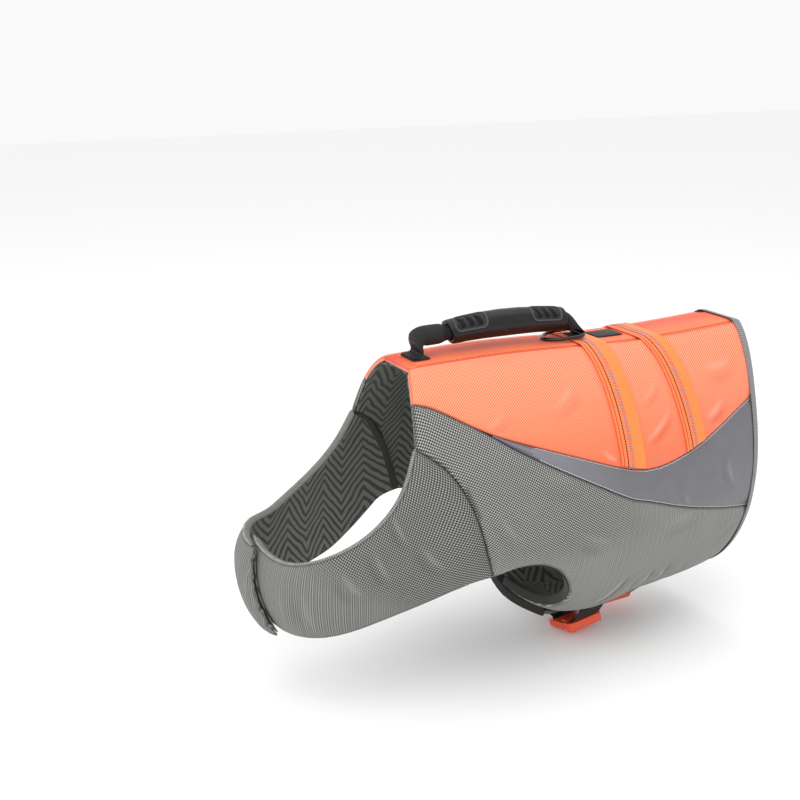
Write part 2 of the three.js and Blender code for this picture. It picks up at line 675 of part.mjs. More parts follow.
// A ring in the plane of y and z, leaning along x by lean at its top.
function uprightRing(x, z, radius, sides, lean = 0) {
  return Array.from({ length: sides }, (_, k) => {
    const turn = (2 * Math.PI * k) / sides;
    return new THREE.Vector3(x + lean * Math.sin(turn), radius * Math.cos(turn), z + radius * Math.sin(turn));
  });
}
const leanAt = (x) => -4 * Math.max(0, 1 - (x + 140) / 20);
const outside = GRIP.map(({ x, z, radius }) => uprightRing(x - leanAt(x), z, radius, ROUND_SIDES, leanAt(x)));
const bore = GRIP.map(({ x, z }) => uprightRing(x - leanAt(x), z, GRIP_BORE, ROUND_SIDES, leanAt(x))).reverse();
const solidOf = (geometry) => {
  const plain = new THREE.BufferGeometry();
  plain.setAttribute('position', geometry.getAttribute('position').clone());
  plain.setIndex(geometry.getIndex() ? geometry.getIndex().clone() : null);
  const merged = mergeVertices(plain, 1e-4);
  return new wasm.Manifold(new wasm.Mesh({
    numProp: 3,
    vertProperties: new Float32Array(merged.getAttribute('position').array),
    triVerts: new Uint32Array(merged.getIndex().array),
  }));
};
const geometryOf = (solid) => {
  const { vertProperties, triVerts } = solid.getMesh();
  const geometry = new THREE.BufferGeometry();
  geometry.setAttribute('position', new THREE.Float32BufferAttribute(vertProperties, 3));
  geometry.setIndex(new THREE.Uint32BufferAttribute(triVerts, 1));
  return geometry;
};
const SLOT = { radius: 2.6, length: 15, pitch: 9.5, turn: 0.7, sunk: 2.5 };
const SLOT_GROUPS = [-114, -23]; // the middle slot's x in each group of three
let grip = solidOf(closeRings([...outside, ...bore], { loop: true }));
for (const middle of SLOT_GROUPS) {
  for (const k of [-1, 0, 1]) {
    const x = middle + k * SLOT.pitch;
    const reach = follow(GRIP, 'x', 'radius', x) + SLOT.radius - SLOT.sunk;
    const slot = new THREE.CapsuleGeometry(SLOT.radius, SLOT.length - 2 * SLOT.radius, 1, 8);
    slot.rotateX(SLOT.turn);
    slot.translate(x, -Math.sin(SLOT.turn) * reach, gripHeight(x) + Math.cos(SLOT.turn) * reach);
    grip = grip.subtract(solidOf(slot));
  }
}
addPiece('handle_grip', geometryOf(grip), COLOURS.rubber);

// The handle's webbing: sewn flat to the strip in front, rolled to a tube, through the grip, and down behind
// it round the bar of the ring
const RING_BAR = { x: 22.2, z: 6.6 };
const RING_ROD = 2.2;
const WRAP = RING_ROD + 1.2; // from the bar's middle to the middle of the webbing round it
const wrapPoint = (degrees) => {
  const turn = THREE.MathUtils.degToRad(degrees);
  return [RING_BAR.x + WRAP * Math.cos(turn), RING_BAR.z + WRAP * Math.sin(turn)];
};
const FLAT = WEBBING / 2;
const TAB = { x: -173, long: 20, wide: 30, slope: -0.02, lift: 0.5 };
const tab = new THREE.BoxGeometry(TAB.long, TAB.wide, WEBBING);
tab.rotateY(TAB.slope);
tab.translate(TAB.x, 0, bodyPoint(TAB.x, 0, SIDES.left).z + TAB.lift + WEBBING / 2);
addPiece('handle_tab', tab, COLOURS.black);

// Where it bends up from the tab, out is the way its sections point, in degrees from +X to +Z.
const core = (x) => ({ at: [x, gripHeight(x)], wide: WEBBING_CORE, thick: WEBBING_CORE, square: 1 });
const handlePath = [
  { at: [-182.5, 4.2], wide: 14, thick: FLAT, square: 0.4, out: 90 },
  { at: [-174.5, 4.2], wide: 14, thick: FLAT, square: 0.4, out: 90 },
  { at: [-171.9, 5.1], wide: 14, thick: FLAT, square: 0.4, out: 135 },
  { at: [-170.8, 7.5], wide: 13.8, thick: 0.8, square: 0.4, out: 180 },
  { at: [-170.6, 10], wide: 13.4, thick: 1.8, square: 0.5, out: 178 },
  { at: [-172.9, 15.1], wide: 12.8, thick: 4.5, square: 0.7, out: 160 },
  { at: [-171.8, 20.3], wide: 12.1, thick: 9.3, square: 0.9, out: 135 },
  { at: [-167.6, 22.8], wide: 11.6, thick: 10.6, square: 1, out: 112 },
  { at: [-162.5, 23], wide: 11.4, thick: 10.8, square: 1, out: 90 },
  { at: [-152, 23.1], wide: 11.2, thick: 10.8, square: 1 },
  { at: [-144, 23.3], wide: 10.8, thick: 10.4, square: 1 },
  { at: [-142, 23.3], wide: WEBBING_CORE, thick: WEBBING_CORE, square: 1 },
  ...[-118, -97, -75, -52, -30, -10].map(core),
  { at: [4.6, 22.5], wide: WEBBING_CORE, thick: WEBBING_CORE, square: 1 },
  { at: [6.8, 21.2], wide: 10.8, thick: 9.4, square: 0.95, out: 84 },
  { at: [10, 18.6], wide: 11.2, thick: 8.2, square: 0.85, out: 66 },
  { at: [14.2, 15.2], wide: 11.8, thick: 5.4, square: 0.7, out: 58 },
  { at: [19, 12.6], wide: 12, thick: 2, square: 0.5, out: 50 },
  { at: wrapPoint(38), wide: 12, thick: FLAT, square: 0.4 },
  { at: wrapPoint(0), wide: 12, thick: FLAT, square: 0.4 },
  { at: wrapPoint(-45), wide: 12, thick: FLAT, square: 0.4 },
  { at: wrapPoint(-90), wide: 12, thick: FLAT, square: 0.4 },
  { at: [RING_BAR.x - 9.5, RING_BAR.z - WRAP], wide: 12, thick: FLAT, square: 0.4 },
];
const power = (value, exponent) => Math.sign(value) * Math.abs(value) ** exponent;
const handleRings = handlePath.map(({ at, wide, thick, square, out: facing }, k) => {
  const before = handlePath[Math.max(k - 1, 0)].at;
  const after = handlePath[Math.min(k + 1, handlePath.length - 1)].at;
  const along = new THREE.Vector2(after[0] - before[0], after[1] - before[1]).normalize();
  if (facing !== undefined) along.set(1, 0).rotateAround(new THREE.Vector2(), THREE.MathUtils.degToRad(facing - 90));
  return Array.from({ length: 14 }, (_, n) => {
    const turn = (2 * Math.PI * (n + 0.5)) / 14;
    const across = power(Math.cos(turn), square) * wide;
    const out = power(Math.sin(turn), square) * thick;
    return new THREE.Vector3(at[0] - along.y * out, across, at[1] + along.x * out);
  });
});
addPiece('handle_webbing', closeRings(handleRings), COLOURS.black);

// The ring: a D lying on the strip, its straight bar in the webbing's loop
const RING_HALF = [
  [0, 0],
  [0, 12.6],
  [-0.8, 14.9],
  [-3.6, 16.2],
  [-12, 17],
  [-21, 16.6],
  [-30, 14.2],
  [-37.5, 9.4],
  [-41.8, 4.4],
  [-43, 0],
];
const RING_REACH = 43; // from the bar to the middle of the round end
const RING_TIP = 3.7; // height of the round end's middle
const ringPath = [...RING_HALF, ...RING_HALF.slice(1, -1).reverse().map(([x, y]) => [x, -y])];
const ringSlope = (RING_BAR.z - RING_TIP) / RING_REACH;
const ringPoints = ringPath.map(([x, y]) => new THREE.Vector3(RING_BAR.x + x, y, RING_BAR.z + x * ringSlope));
const ringUp = new THREE.Vector3(-ringSlope, 0, 1).normalize();
const ringRings = ringPoints.map((point, k) => {
  const before = ringPoints[(k + ringPoints.length - 1) % ringPoints.length];
  const after = ringPoints[(k + 1) % ringPoints.length];
  const across = after.clone().sub(before).normalize().cross(ringUp);
  return Array.from({ length: 8 }, (_, n) => {
    const turn = (2 * Math.PI * (n + 0.5)) / 8;
    const ring = point.clone().addScaledVector(across, RING_ROD * Math.cos(turn));
    return ring.addScaledVector(ringUp, RING_ROD * Math.sin(turn));
  });
});
addPiece('d_ring', closeRings(ringRings, { loop: true }), COLOURS.ring);

// A bare tag sewn to the strip between the bands
const TAG = { x: 59.5, y: 2, long: 33, wide: 24, thick: 1, lift: 0.7 };
const tag = new THREE.BoxGeometry(TAG.long, TAG.wide, TAG.thick);
tag.translate(TAG.x, TAG.y, bodyPoint(TAG.x, 0, SIDES.left).z + TAG.lift + TAG.thick / 2);
addPiece('side_tag', tag, COLOURS.black);

// Belly straps and buckles, one set in front and one behind
const STRAP_HALF = 17.5;
const BUCKLE = { half: 22.5, near: -23, far: 23, bar: 4, slot: 4.6, thick: 10, seam: 3 };
// Flap rows are where the left strap lies sewn on its flap, and lifts are how far a strap lies off the flap.
const RIGHT_LIFT = 1.2;
const BUCKLES = {
  front: { x: 36, y: -1, z: -335.5, tiltX: -0.24, tiltY: -0.15, flapRows: [0.98, 0.955, 0.93, 0.905], leftLift: 1.3 },
  rear: { x: 106, y: 36, z: -322, tiltX: 0.42, tiltY: -0.06, flapRows: [0.89, 0.905, 0.92, 0.935], leftLift: 1.9 },
};

// A block with that outline, given for its right half, and a slot for the strap.
function buckleHalf(half, slotFrom, slotTo, height) {
  const shape = new THREE.Shape();
  const outline = [...half, ...[...half].reverse().map(([x, y]) => [-x, y])];
  outline.forEach(([x, y], k) => (k ? shape.lineTo(x, y) : shape.moveTo(x, y)));
  const reach = STRAP_HALF + 1;
  const slot = new THREE.Path();
  slot.moveTo(-reach, slotFrom);
  slot.lineTo(-reach, slotTo);
  slot.lineTo(reach, slotTo);
  slot.lineTo(reach, slotFrom);
  shape.holes.push(slot);
  const block = new THREE.ExtrudeGeometry(shape, { depth: height, bevelEnabled: false });
  return block.translate(0, 0, -height / 2);
}

const strapPieces = {};
for (const [name, place] of Object.entries(BUCKLES)) {
  const nearSlot = [BUCKLE.near + BUCKLE.bar, BUCKLE.near + BUCKLE.bar + BUCKLE.slot];
  const farSlot = [BUCKLE.far - BUCKLE.bar - BUCKLE.slot, BUCKLE.far - BUCKLE.bar];
  const socket = buckleHalf([
    [BUCKLE.half - 3, BUCKLE.near],
    [BUCKLE.half, BUCKLE.near + 3],
    [BUCKLE.half, -11.5],
    [BUCKLE.half - 2.5, -9.6],
    [BUCKLE.half - 5.4, -9.6],
    [BUCKLE.half - 5.4, BUCKLE.seam],
  ], ...nearSlot, BUCKLE.thick);
  const plug = buckleHalf([
    [BUCKLE.half - 5, BUCKLE.seam + CLEAR],
    [BUCKLE.half - 5, -7.5],
    [BUCKLE.half - 2.5, -8.8],
    [BUCKLE.half - 0.5, -6],
    [BUCKLE.half - 0.5, 6],
    [BUCKLE.half, 9],
    [BUCKLE.half, BUCKLE.far - 3],
    [BUCKLE.half - 3, BUCKLE.far],
  ], ...farSlot, BUCKLE.thick - 3);
  const set = new THREE.Group();
  set.position.set(place.x, place.y, place.z);
  set.rotation.set(place.tiltX, place.tiltY, 0);
  for (const [part, geometry] of [['socket', socket], ['plug', plug]]) {
    const piece = new THREE.Mesh(geometry, new THREE.MeshStandardMaterial(COLOURS.buckle));
    piece.name = `buckle_${part}_${name}`;
    set.add(piece);
  }
  jacket.add(set);
  set.updateMatrix();
  const inSet = (x, y, z) => new THREE.Vector3(x, y, z).applyMatrix4(set.matrix);
  strapPieces[name] = { inSet, nearSlot, farSlot };
}

// The webbing between a flap and its buckle: it lies on the flap's outside, then runs down through the slot.
function strapGrid(side, x, lift, flapRows, freeRows) {
  const columns = [-STRAP_HALF, 0, STRAP_HALF].map((across) => [
    ...flapRows.map((v) => {
      const point = bodyPoint(x + across, v, side);
      return point.addScaledVector(bodyNormal(x + across, v, side), lift);
    }),
    ...freeRows(across),
  ]);
  const normals = columns.map((line, i) => line.map((_, j) => {
    const alongX = columns[Math.min(i + 1, 2)][j].clone().sub(columns[Math.max(i - 1, 0)][j]);
    const ahead = line[Math.min(j + 1, line.length - 1)].clone().sub(line[Math.max(j - 1, 0)]);
    return alongX.cross(ahead).normalize();
  }));
  return { points: columns, normals };
}
const strapWall = { top: WEBBING, thick: WEBBING, roll: 0, gap: 0 };
for (const [name, { inSet, nearSlot, farSlot }] of Object.entries(strapPieces)) {
  const { x, flapRows, leftLift } = BUCKLES[name];
  const nearMiddle = (nearSlot[0] + nearSlot[1]) / 2;
  const farMiddle = (farSlot[0] + farSlot[1]) / 2;
  const near = strapGrid(SIDES.left, x, leftLift, flapRows, (across) => [
    inSet(across, nearMiddle - 9, 7),
    inSet(across, nearMiddle - 4.5, 8.3),
    inSet(across, nearMiddle - 0.4, 5.5),
    inSet(across, nearMiddle + 0.4, -4),
  ]);
  addPiece(`strap_left_${name}`, wall(near, strapWall), COLOURS.black);
  const far = strapGrid(SIDES.right, x, RIGHT_LIFT, [0.79, 0.82, 0.85, 0.88], (across) => [
    inSet(across, farMiddle + 8, 8),
    inSet(across, farMiddle + 3, 6.6),
    inSet(across, farMiddle, 3.4),
    inSet(across, farMiddle - 0.4, -3),
  ]);
  addPiece(`strap_right_${name}`, wall(far, strapWall), COLOURS.black);
}

export default jacket;
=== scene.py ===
import math
from collections import defaultdict

import bmesh
import bpy
from mathutils import Matrix, Vector, kdtree, noise


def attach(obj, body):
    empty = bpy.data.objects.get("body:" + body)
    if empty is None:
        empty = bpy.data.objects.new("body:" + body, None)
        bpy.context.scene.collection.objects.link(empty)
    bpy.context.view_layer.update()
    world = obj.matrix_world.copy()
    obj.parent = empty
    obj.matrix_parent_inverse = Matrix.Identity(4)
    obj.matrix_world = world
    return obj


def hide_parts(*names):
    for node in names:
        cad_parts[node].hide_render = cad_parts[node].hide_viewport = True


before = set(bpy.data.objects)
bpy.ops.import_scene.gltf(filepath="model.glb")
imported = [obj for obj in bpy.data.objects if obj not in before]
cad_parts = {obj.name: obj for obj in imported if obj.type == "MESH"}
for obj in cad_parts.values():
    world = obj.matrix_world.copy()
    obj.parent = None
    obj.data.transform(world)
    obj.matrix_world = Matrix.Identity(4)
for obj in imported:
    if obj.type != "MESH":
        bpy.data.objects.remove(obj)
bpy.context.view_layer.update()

# Camera: it stands ahead of the left shoulder and a little above the back, at the photograph's viewing angle,
# and looks at the ribs behind the leg.
CAMERA_PLACE = Vector((-0.75296, -1.10927, 0.34621))
CAMERA_AIM = Vector((-0.1902, 0, -0.0317))
CAMERA_LENS = 57.78
bpy.ops.object.select_all(action="DESELECT")
bpy.ops.object.camera_add(location=CAMERA_PLACE)
camera = bpy.context.object
camera.rotation_euler = (CAMERA_AIM - CAMERA_PLACE).to_track_quat("-Z", "Y").to_euler()
camera.data.lens = CAMERA_LENS
bpy.context.scene.camera = camera


# Studio: a white sweep of floor under the belly, a large soft light over the left shoulder and a weaker one
# from ahead, in an evenly lit white room.
class Amount:
    """A number that varies over a surface. Sums written with it add Math nodes."""

    def __init__(self, finish, socket):
        self.finish, self.socket = finish, socket

    def by(self, operation, *others):
        sockets = dict(enumerate((self, *others)))
        return self.finish.node("ShaderNodeMath", {"operation": operation}, sockets)

    def __add__(self, other):
        return self.by("ADD", other)

    def __sub__(self, other):
        return self.by("SUBTRACT", other)

    def __rsub__(self, other):
        return self.by("MULTIPLY", -1) + other

    def __mul__(self, other):
        return self.by("MULTIPLY", other)

    __radd__, __rmul__ = __add__, __mul__

    def ripple(self, pitch):
        """0 to 1 and back over each pitch."""
        return (self * (2 * math.pi / pitch)).by("SINE") * 0.5 + 0.5

    def step(self, low, high):
        """0 below low, 1 above high and smooth between; the other way round if high is lower."""
        settings = {"interpolation_type": "SMOOTHSTEP"}
        if low < high:
            return self.finish.node("ShaderNodeMapRange", settings, {0: self, 1: low, 2: high, 3: 0, 4: 1})
        return self.finish.node("ShaderNodeMapRange", settings, {0: self, 1: high, 2: low, 3: 1, 4: 0})

    def stripe(self, middle, half, soft):
        """1 within half of middle and 0 beyond it."""
        return (self - middle).by("ABSOLUTE").step(half + soft, half - soft)


class Finish:
    """A material under construction. Constants go on the shader's own sockets."""

    def __init__(self, name, **constants):
        self.material = bpy.data.materials.new(name)
        self.material.use_nodes = True
        self.tree = self.material.node_tree
        self.shader = self.tree.nodes["Principled BSDF"]
        for socket, value in constants.items():
            self.shader.inputs[socket.replace("_", " ")].default_value = value

    def node(self, kind, settings, sockets, out=0):
        made = self.tree.nodes.new(kind)
        for setting, value in settings.items():
            setattr(made, setting, value)
        for socket, value in sockets.items():
            if isinstance(value, Amount):
                self.tree.links.new(value.socket, made.inputs[socket])
            else:
                made.inputs[socket].default_value = value
        return Amount(self, made.outputs[out])

    def along(self):
        """The two lengths along the cloth, in metres."""
        place = self.node("ShaderNodeUVMap", {"uv_map": "cloth"}, {})
        return [self.node("ShaderNodeSeparateXYZ", {}, {0: place}, out) for out in (0, 1)]

    def measured(self, name):
        """A number that was written on the piece's points."""
        return self.node("ShaderNodeAttribute", {"attribute_name": name}, {}, "Fac")

    def cloud(self, size, detail=2.0):
        """Noise from about 0.2 to 0.8 with spots of that size."""
        place = self.node("ShaderNodeTexCoord", {}, {}, "Object")
        return self.node("ShaderNodeTexNoise", {}, {"Vector": place, "Scale": 1 / size, "Detail": detail})

    def mix(self, share, first, second):
        """A colour between two others."""
        return self.node("ShaderNodeMix", {"data_type": "RGBA"}, {0: share, 6: first, 7: second}, 2)

    def done(self, colour=None, height=None, depth=0.0003, strength=0.5, roughness=None):
        """Wires what varies to the shader and returns the material."""
        links = self.tree.links
        for socket, value in (("Base Color", colour), ("Roughness", roughness)):
            if isinstance(value, Amount):
                links.new(value.socket, self.shader.inputs[socket])
        if height is not None:
            bump = {"Strength": strength, "Distance": depth, "Height": height}
            links.new(self.node("ShaderNodeBump", {}, bump).socket, self.shader.inputs["Normal"])
        return self.material


def shade(red, green, blue):
    """A colour as a screen shows it, 0 to 255, for a shader."""
    shares = [value / 255 for value in (red, green, blue)]
    return (*[c / 12.92 if c < 0.0404 else ((c + 0.055) / 1.055) ** 2.4 for c in shares], 1.0)


FLOOR_Z = -0.3385
FLOOR_SIZE = 12
bpy.ops.object.select_all(action="DESELECT")
bpy.ops.mesh.primitive_plane_add(size=FLOOR_SIZE, location=(0, 0, FLOOR_Z))
floor = bpy.context.object
floor.name = "studio_floor"
paint = Finish("floor_paint", Base_Color=shade(250, 250, 250), Roughness=0.9)
floor.data.materials.append(paint.done(height=paint.cloud(0.05), depth=0.0001, strength=0.1))

LIGHT_AIM = Vector((-0.05, 0, -0.15))
LIGHTS = {
    "key_light": {"place": (-1.0, -1.3, 1.5), "size": 1.6, "power": 17},
    "top_light": {"place": (0.1, 0.1, 1.7), "size": 2.0, "power": 10},
    "front_light": {"place": (-1.9, -0.2, 0.5), "size": 1.2, "power": 5},
}
for name, light in LIGHTS.items():
    bpy.ops.object.light_add(type="AREA", location=light["place"])
    lamp = bpy.context.object
    lamp.name = name
    lamp.data.size = light["size"]
    lamp.data.energy = light["power"]
    aim = LIGHT_AIM - lamp.location
    lamp.rotation_euler = aim.to_track_quat("-Z", "Y").to_euler()

room = bpy.data.worlds.new("white_room")
room.use_nodes = True
room.node_tree.nodes["Background"].inputs["Color"].default_value = (1, 1, 1, 1)
room.node_tree.nodes["Background"].inputs["Strength"].default_value = 0.95
bpy.context.scene.world = room
bpy.context.scene.view_settings.view_transform = "Standard"


# Back panels: 7 mm foam in orange twill, one each side of the spine, sewn to the spine strip and along the
# wave. The foam stands up in soft puffs between the two bands of webbing, which press it down.
MM = 0.001
AXIS_Z = -0.150  # height of the line about which the cloth's turn round the body is measured
GIRTH = 0.125  # radius that makes a length of that turn
SHARP = math.radians(48)  # faces that meet more sharply than this meet in an edge


def only(*pieces):
    """Selects these objects alone."""
    bpy.ops.object.select_all(action="DESELECT")
    for piece in pieces:
        piece.select_set(True)
    bpy.context.view_layer.objects.active = pieces[0]


def copied(node, name):
    """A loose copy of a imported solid, welded and with its pairs of triangles joined."""
    piece = bpy.data.objects.new(name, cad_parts[node].data.copy())
    piece.data.name = name
    piece.data.materials.clear()
    bpy.context.scene.collection.objects.link(piece)
    only(piece)
    bpy.ops.object.mode_set(mode="EDIT")
    bpy.ops.mesh.select_all(action="SELECT")
    bpy.ops.mesh.remove_doubles(threshold=2e-5)
    bpy.ops.mesh.tris_convert_to_quads(face_threshold=0.8, shape_threshold=1.2)
    bpy.ops.mesh.normals_make_consistent(inside=False)
    bpy.ops.object.mode_set(mode="OBJECT")
    return piece


def applied(piece, kind, **settings):
    """Adds a modifier, applies it, and returns the piece."""
    only(piece)
    modifier = piece.modifiers.new(kind.lower(), kind)
    for setting, value in settings.items():
        setattr(modifier, setting, value)
    bpy.ops.object.modifier_apply(modifier=modifier.name)
    return piece


def smoothed(piece):
    only(piece)
    bpy.ops.object.shade_smooth()
    return piece


def sharp_points(piece, spacing=2 * MM, keep=lambda co: True):
    """Points along the sharp edges of a piece."""
    solid = bmesh.new()
    solid.from_mesh(piece.data)
    points = []
    for edge in solid.edges:
        if len(edge.link_faces) == 2 and edge.calc_face_angle() > SHARP:
            start, end = edge.verts[0].co, edge.verts[1].co
            count = max(1, math.ceil((end - start).length / spacing))
            points += [start.lerp(end, k / count) for k in range(count + 1)]
    solid.free()
    return [p.copy() for p in points if keep(p)]


def tree_of(points):
    tree = kdtree.KDTree(len(points))
    for k, point in enumerate(points):
        tree.insert(point, k)
    tree.balance()
    return tree


def subdivided(piece, levels, crease=0.75):
    """Rounds a panel and keeps its sewn edges in place."""
    only(piece)
    bpy.ops.object.mode_set(mode="EDIT")
    bpy.ops.mesh.select_mode(type="EDGE")
    bpy.ops.mesh.select_all(action="DESELECT")
    bpy.ops.mesh.edges_select_sharp(sharpness=SHARP)
    bpy.ops.transform.edge_crease(value=crease)
    bpy.ops.mesh.select_mode(type="VERT")
    bpy.ops.object.mode_set(mode="OBJECT")
    return applied(piece, "SUBSURF", levels=levels, render_levels=levels)


def smooth_step(value, low, high):
    share = min(max((value - low) / (high - low), 0), 1)
    return share * share * (3 - 2 * share)


def round_body(side):
    """Lengths along the cloth of the body: tailwards, and down round the left side from the spine."""

    def place(co):
        turn = math.atan2(-co.y, co.z - AXIS_Z)
        if side < 0 and turn < -math.pi / 2:
            turn += 2 * math.pi
        if side > 0 and turn > math.pi / 2:
            turn -= 2 * math.pi
        return co.x, turn * GIRTH

    return place


def from_axis(co):
    return Vector((0, co.y, co.z - AXIS_Z)).normalized()


def laid_out(piece, place):
    """Writes the lengths along the cloth as the piece's own map."""
    mesh = piece.data
    places = [place(vertex.co) for vertex in mesh.vertices]
    for old in list(mesh.uv_layers):
        mesh.uv_layers.remove(old)
    layer = mesh.uv_layers.new(name="cloth")
    flat = [value for loop in mesh.loops for value in places[loop.vertex_index]]
    layer.data.foreach_set("uv", flat)
    return places


def noted(piece, name, values):
    """Writes a number on each point of a piece."""
    attribute = piece.data.attributes.new(name, "FLOAT", "POINT")
    attribute.data.foreach_set("value", values)


def fold_lift(folds, u, v):
    """Height of a cloth's folds: each is deepest in its middle, with a low ridge beside it."""
    lift = 0
    for u0, v0, u1, v1, width, depth in folds:
        du, dv = u1 - u0, v1 - v0
        length = math.hypot(du, dv)
        share = ((u - u0) * du + (v - v0) * dv) / (length * length)
        if -0.1 < share < 1.1:
            across = ((u - u0) * dv - (v - v0) * du) / length
            bend = 0.06 * length * math.sin(math.pi * share)
            across += bend
            if abs(across) < 4 * width:
                ends = math.sin(math.pi * (share + 0.1) / 1.2)
                trough = math.exp(-((across / width) ** 2))
                ridge = math.exp(-(((across - 1.7 * width) / width) ** 2))
                lift += ends * depth * (0.55 * ridge - trough)
    return lift


def puffed(
    piece, place, away, crown, folds, rough,
    press=lambda co: 1, width=16 * MM, crease=0.75, lower=lambda co: 0,
):
    """A foam panel: rounded, crowned between its seams, with slight unevenness and the folds given."""
    rim = tree_of(sharp_points(piece))
    subdivided(piece, 3, crease)
    mesh = piece.data
    distances, moved, inward, creases = [], [], [], []
    for vertex in mesh.vertices:
        co = vertex.co
        distance = rim.find(co)[2]
        distances.append(distance)
        facing = smooth_step(vertex.normal.dot(away(co)), 0.1, 0.6)
        lift = fold = 0
        if facing > 0:
            inner = smooth_step(distance, 2 * MM, width)
            u, v = place(co)
            uneven = noise.noise(co * 24) + 0.6 * noise.noise(co * 55 + Vector((3, 7, 1)))
            lift = (crown + rough * uneven) * inner * press(co)
            fold = fold_lift(folds, u, v) * smooth_step(distance, 0.5 * MM, 7 * MM) * press(co)
            lift += fold
        creases.append(fold / MM)
        inward.append(1 - smooth_step(vertex.normal.dot(away(co)), -0.5, -0.1))
        moved.append(co + vertex.normal * lift * facing - away(co) * lower(co))
    mesh.vertices.foreach_set("co", [value for co in moved for value in co])
    mesh.update()
    noted(piece, "rim", distances)
    noted(piece, "inward", inward)
    noted(piece, "fold", creases)
    laid_out(piece, place)
    return smoothed(piece)


# The bands' edges: x at the spine and at the wave of the front and the rear edge of each.
BANDS = {"front": ((7, 7), (38, 38)), "rear": ((82, 99), (109, 127))}
WAVE_TURN = 0.160  # length of cloth from the spine to the wave under the bands


def band_edges(name, v):
    """Where a band's front and rear edges lie, at a length of cloth v from the spine."""
    share = min(abs(v) / WAVE_TURN, 1.1)
    return [(low[0] + (low[1] - low[0]) * share) * MM for low in BANDS[name]]


def under_bands(co):
    """0 where a band presses the foam down, 1 away from it."""
    v = abs(math.atan2(co.y, co.z - AXIS_Z)) * GIRTH
    free = 1.0
    for name in BANDS:
        front, rear = band_edges(name, v)
        beside = max(front - co.x, co.x - rear)
        free *= smooth_step(beside, 1 * MM, 9 * MM)
    return free


def edge_cloth(finish, colour, dark, seam=2.4 * MM):
    """A cloth's colour with painted shade in the grooves of its seams and the troughs of its folds, a painted
    highlight on the folds' ridges, and the lining's dark colour on faces turned inwards.
    """
    colour = finish.mix(finish.measured("rim").step(seam, 0.6 * MM) * 0.55, colour, dark)
    fold = finish.measured("fold")
    # Painted shade in the troughs of the folds
    colour = finish.mix(fold.step(-0.1, -2.0) * 0.35, colour, dark)
    # Painted highlight on the ridges of the folds
    colour = finish.mix(fold.step(0.1, 1.2) * 0.15, colour, shade(255, 250, 245))
    return finish.mix(finish.measured("inward") * 0.85, colour, shade(46, 48, 43))


twill = Finish("orange_twill", Roughness=0.72, Sheen_Weight=0.12, Sheen_Roughness=0.5)
u, v = twill.along()
across = u * 0.54 + v * 0.84
diagonal = across.ripple(1.8 * MM)
broken = (u * 0.84 - v * 0.54).ripple(2.1 * MM)
thread = diagonal * (broken * 0.25 + 0.75)
patch = twill.cloud(0.045)
# Painted shade: down the sides the orange deepens and shows fewer light threads, away from the light on top
low = v.by("ABSOLUTE").step(0.04, 0.155)
base = twill.mix(low * 0.85 + patch * 0.15, shade(240, 112, 72), shade(238, 84, 30))
colour = twill.mix(thread.step(0.2, 0.95) * (0.78 - low * 0.28), base, shade(255, 182, 146))
colour = edge_cloth(twill, colour, shade(170, 60, 35))
ORANGE_TWILL = twill.done(colour, height=thread + patch * 0.4, depth=0.35 * MM, strength=0.45)

BACK_FOLDS = [
    (0.043, 0.130, 0.088, 0.098, 4 * MM, 2.0 * MM),
    (0.046, 0.092, 0.080, 0.070, 3.5 * MM, 1.3 * MM),
    (-0.020, 0.130, 0.004, 0.146, 4 * MM, 1.8 * MM),
    (-0.150, 0.098, -0.110, 0.083, 5 * MM, 1.1 * MM),
    (0.134, 0.115, 0.165, 0.095, 5 * MM, 1.8 * MM),
    (0.140, 0.070, 0.190, 0.062, 6 * MM, 1.3 * MM),
    (-0.060, 0.090, -0.020, 0.068, 6 * MM, 1.1 * MM),
    (0.120, 0.135, 0.140, 0.128, 3 * MM, 1.3 * MM),
]
SIDE_SIGNS = {"left": -1, "right": 1}


def mirrored(folds, side):
    """The same folds on the other side, a little shifted, because no two sides crease alike."""
    if side < 0:
        return folds
    return [(u0 + 0.012, -v0, u1 - 0.006, -v1 - 0.004, w, d * 0.85) for u0, v0, u1, v1, w, d in folds]


panels = {}
walls = {}


def edge_walls(piece, away):
    """The rungs across the wall of a panel's edge: outer end, inner end and the way out."""
    solid = bmesh.new()
    solid.from_mesh(piece.data)
    sharp = [edge for edge in solid.edges if len(edge.link_faces) == 2 and edge.calc_face_angle() > SHARP]
    on_rim = {vert for edge in sharp for vert in edge.verts}
    in_wall = {face for face in solid.faces if all(vert in on_rim for vert in face.verts)}
    rungs = []
    for edge in solid.edges:
        if all(face in in_wall for face in edge.link_faces):
            first, second = (vert.co.copy() for vert in edge.verts)
            through = (first - second).normalized().dot(away(first))
            out = sum((face.normal for face in edge.link_faces), Vector()).normalized()
            if abs(through) > 0.7:
                rungs.append((first, second, out) if through > 0 else (second, first, out))
    solid.free()
    return rungs


def runs_where(rungs, keep, reach=45 * MM):
    """The rungs that are kept, in order along each stretch of edge."""
    left = [rung for rung in rungs if keep((rung[0] + rung[1]) / 2, rung[2])]
    stretches = []
    while left:
        middle = sum((rung[0] for rung in left), Vector()) / len(left)
        following = max(left, key=lambda rung: (rung[0] - middle).length)
        stretch = [following]
        left.remove(following)
        while left:
            following = min(left, key=lambda rung: (rung[0] - stretch[-1][0]).length)
            if (following[0] - stretch[-1][0]).length > reach:
                break
            stretch.append(following)
            left.remove(following)
        if len(stretch) > 2:
            stretches.append(stretch)
    return stretches


def finished(piece, material, node):
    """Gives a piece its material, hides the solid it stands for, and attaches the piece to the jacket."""
    piece.data.materials.clear()
    piece.data.materials.append(material)
    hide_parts(node)
    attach(piece, "jacket")
    return piece


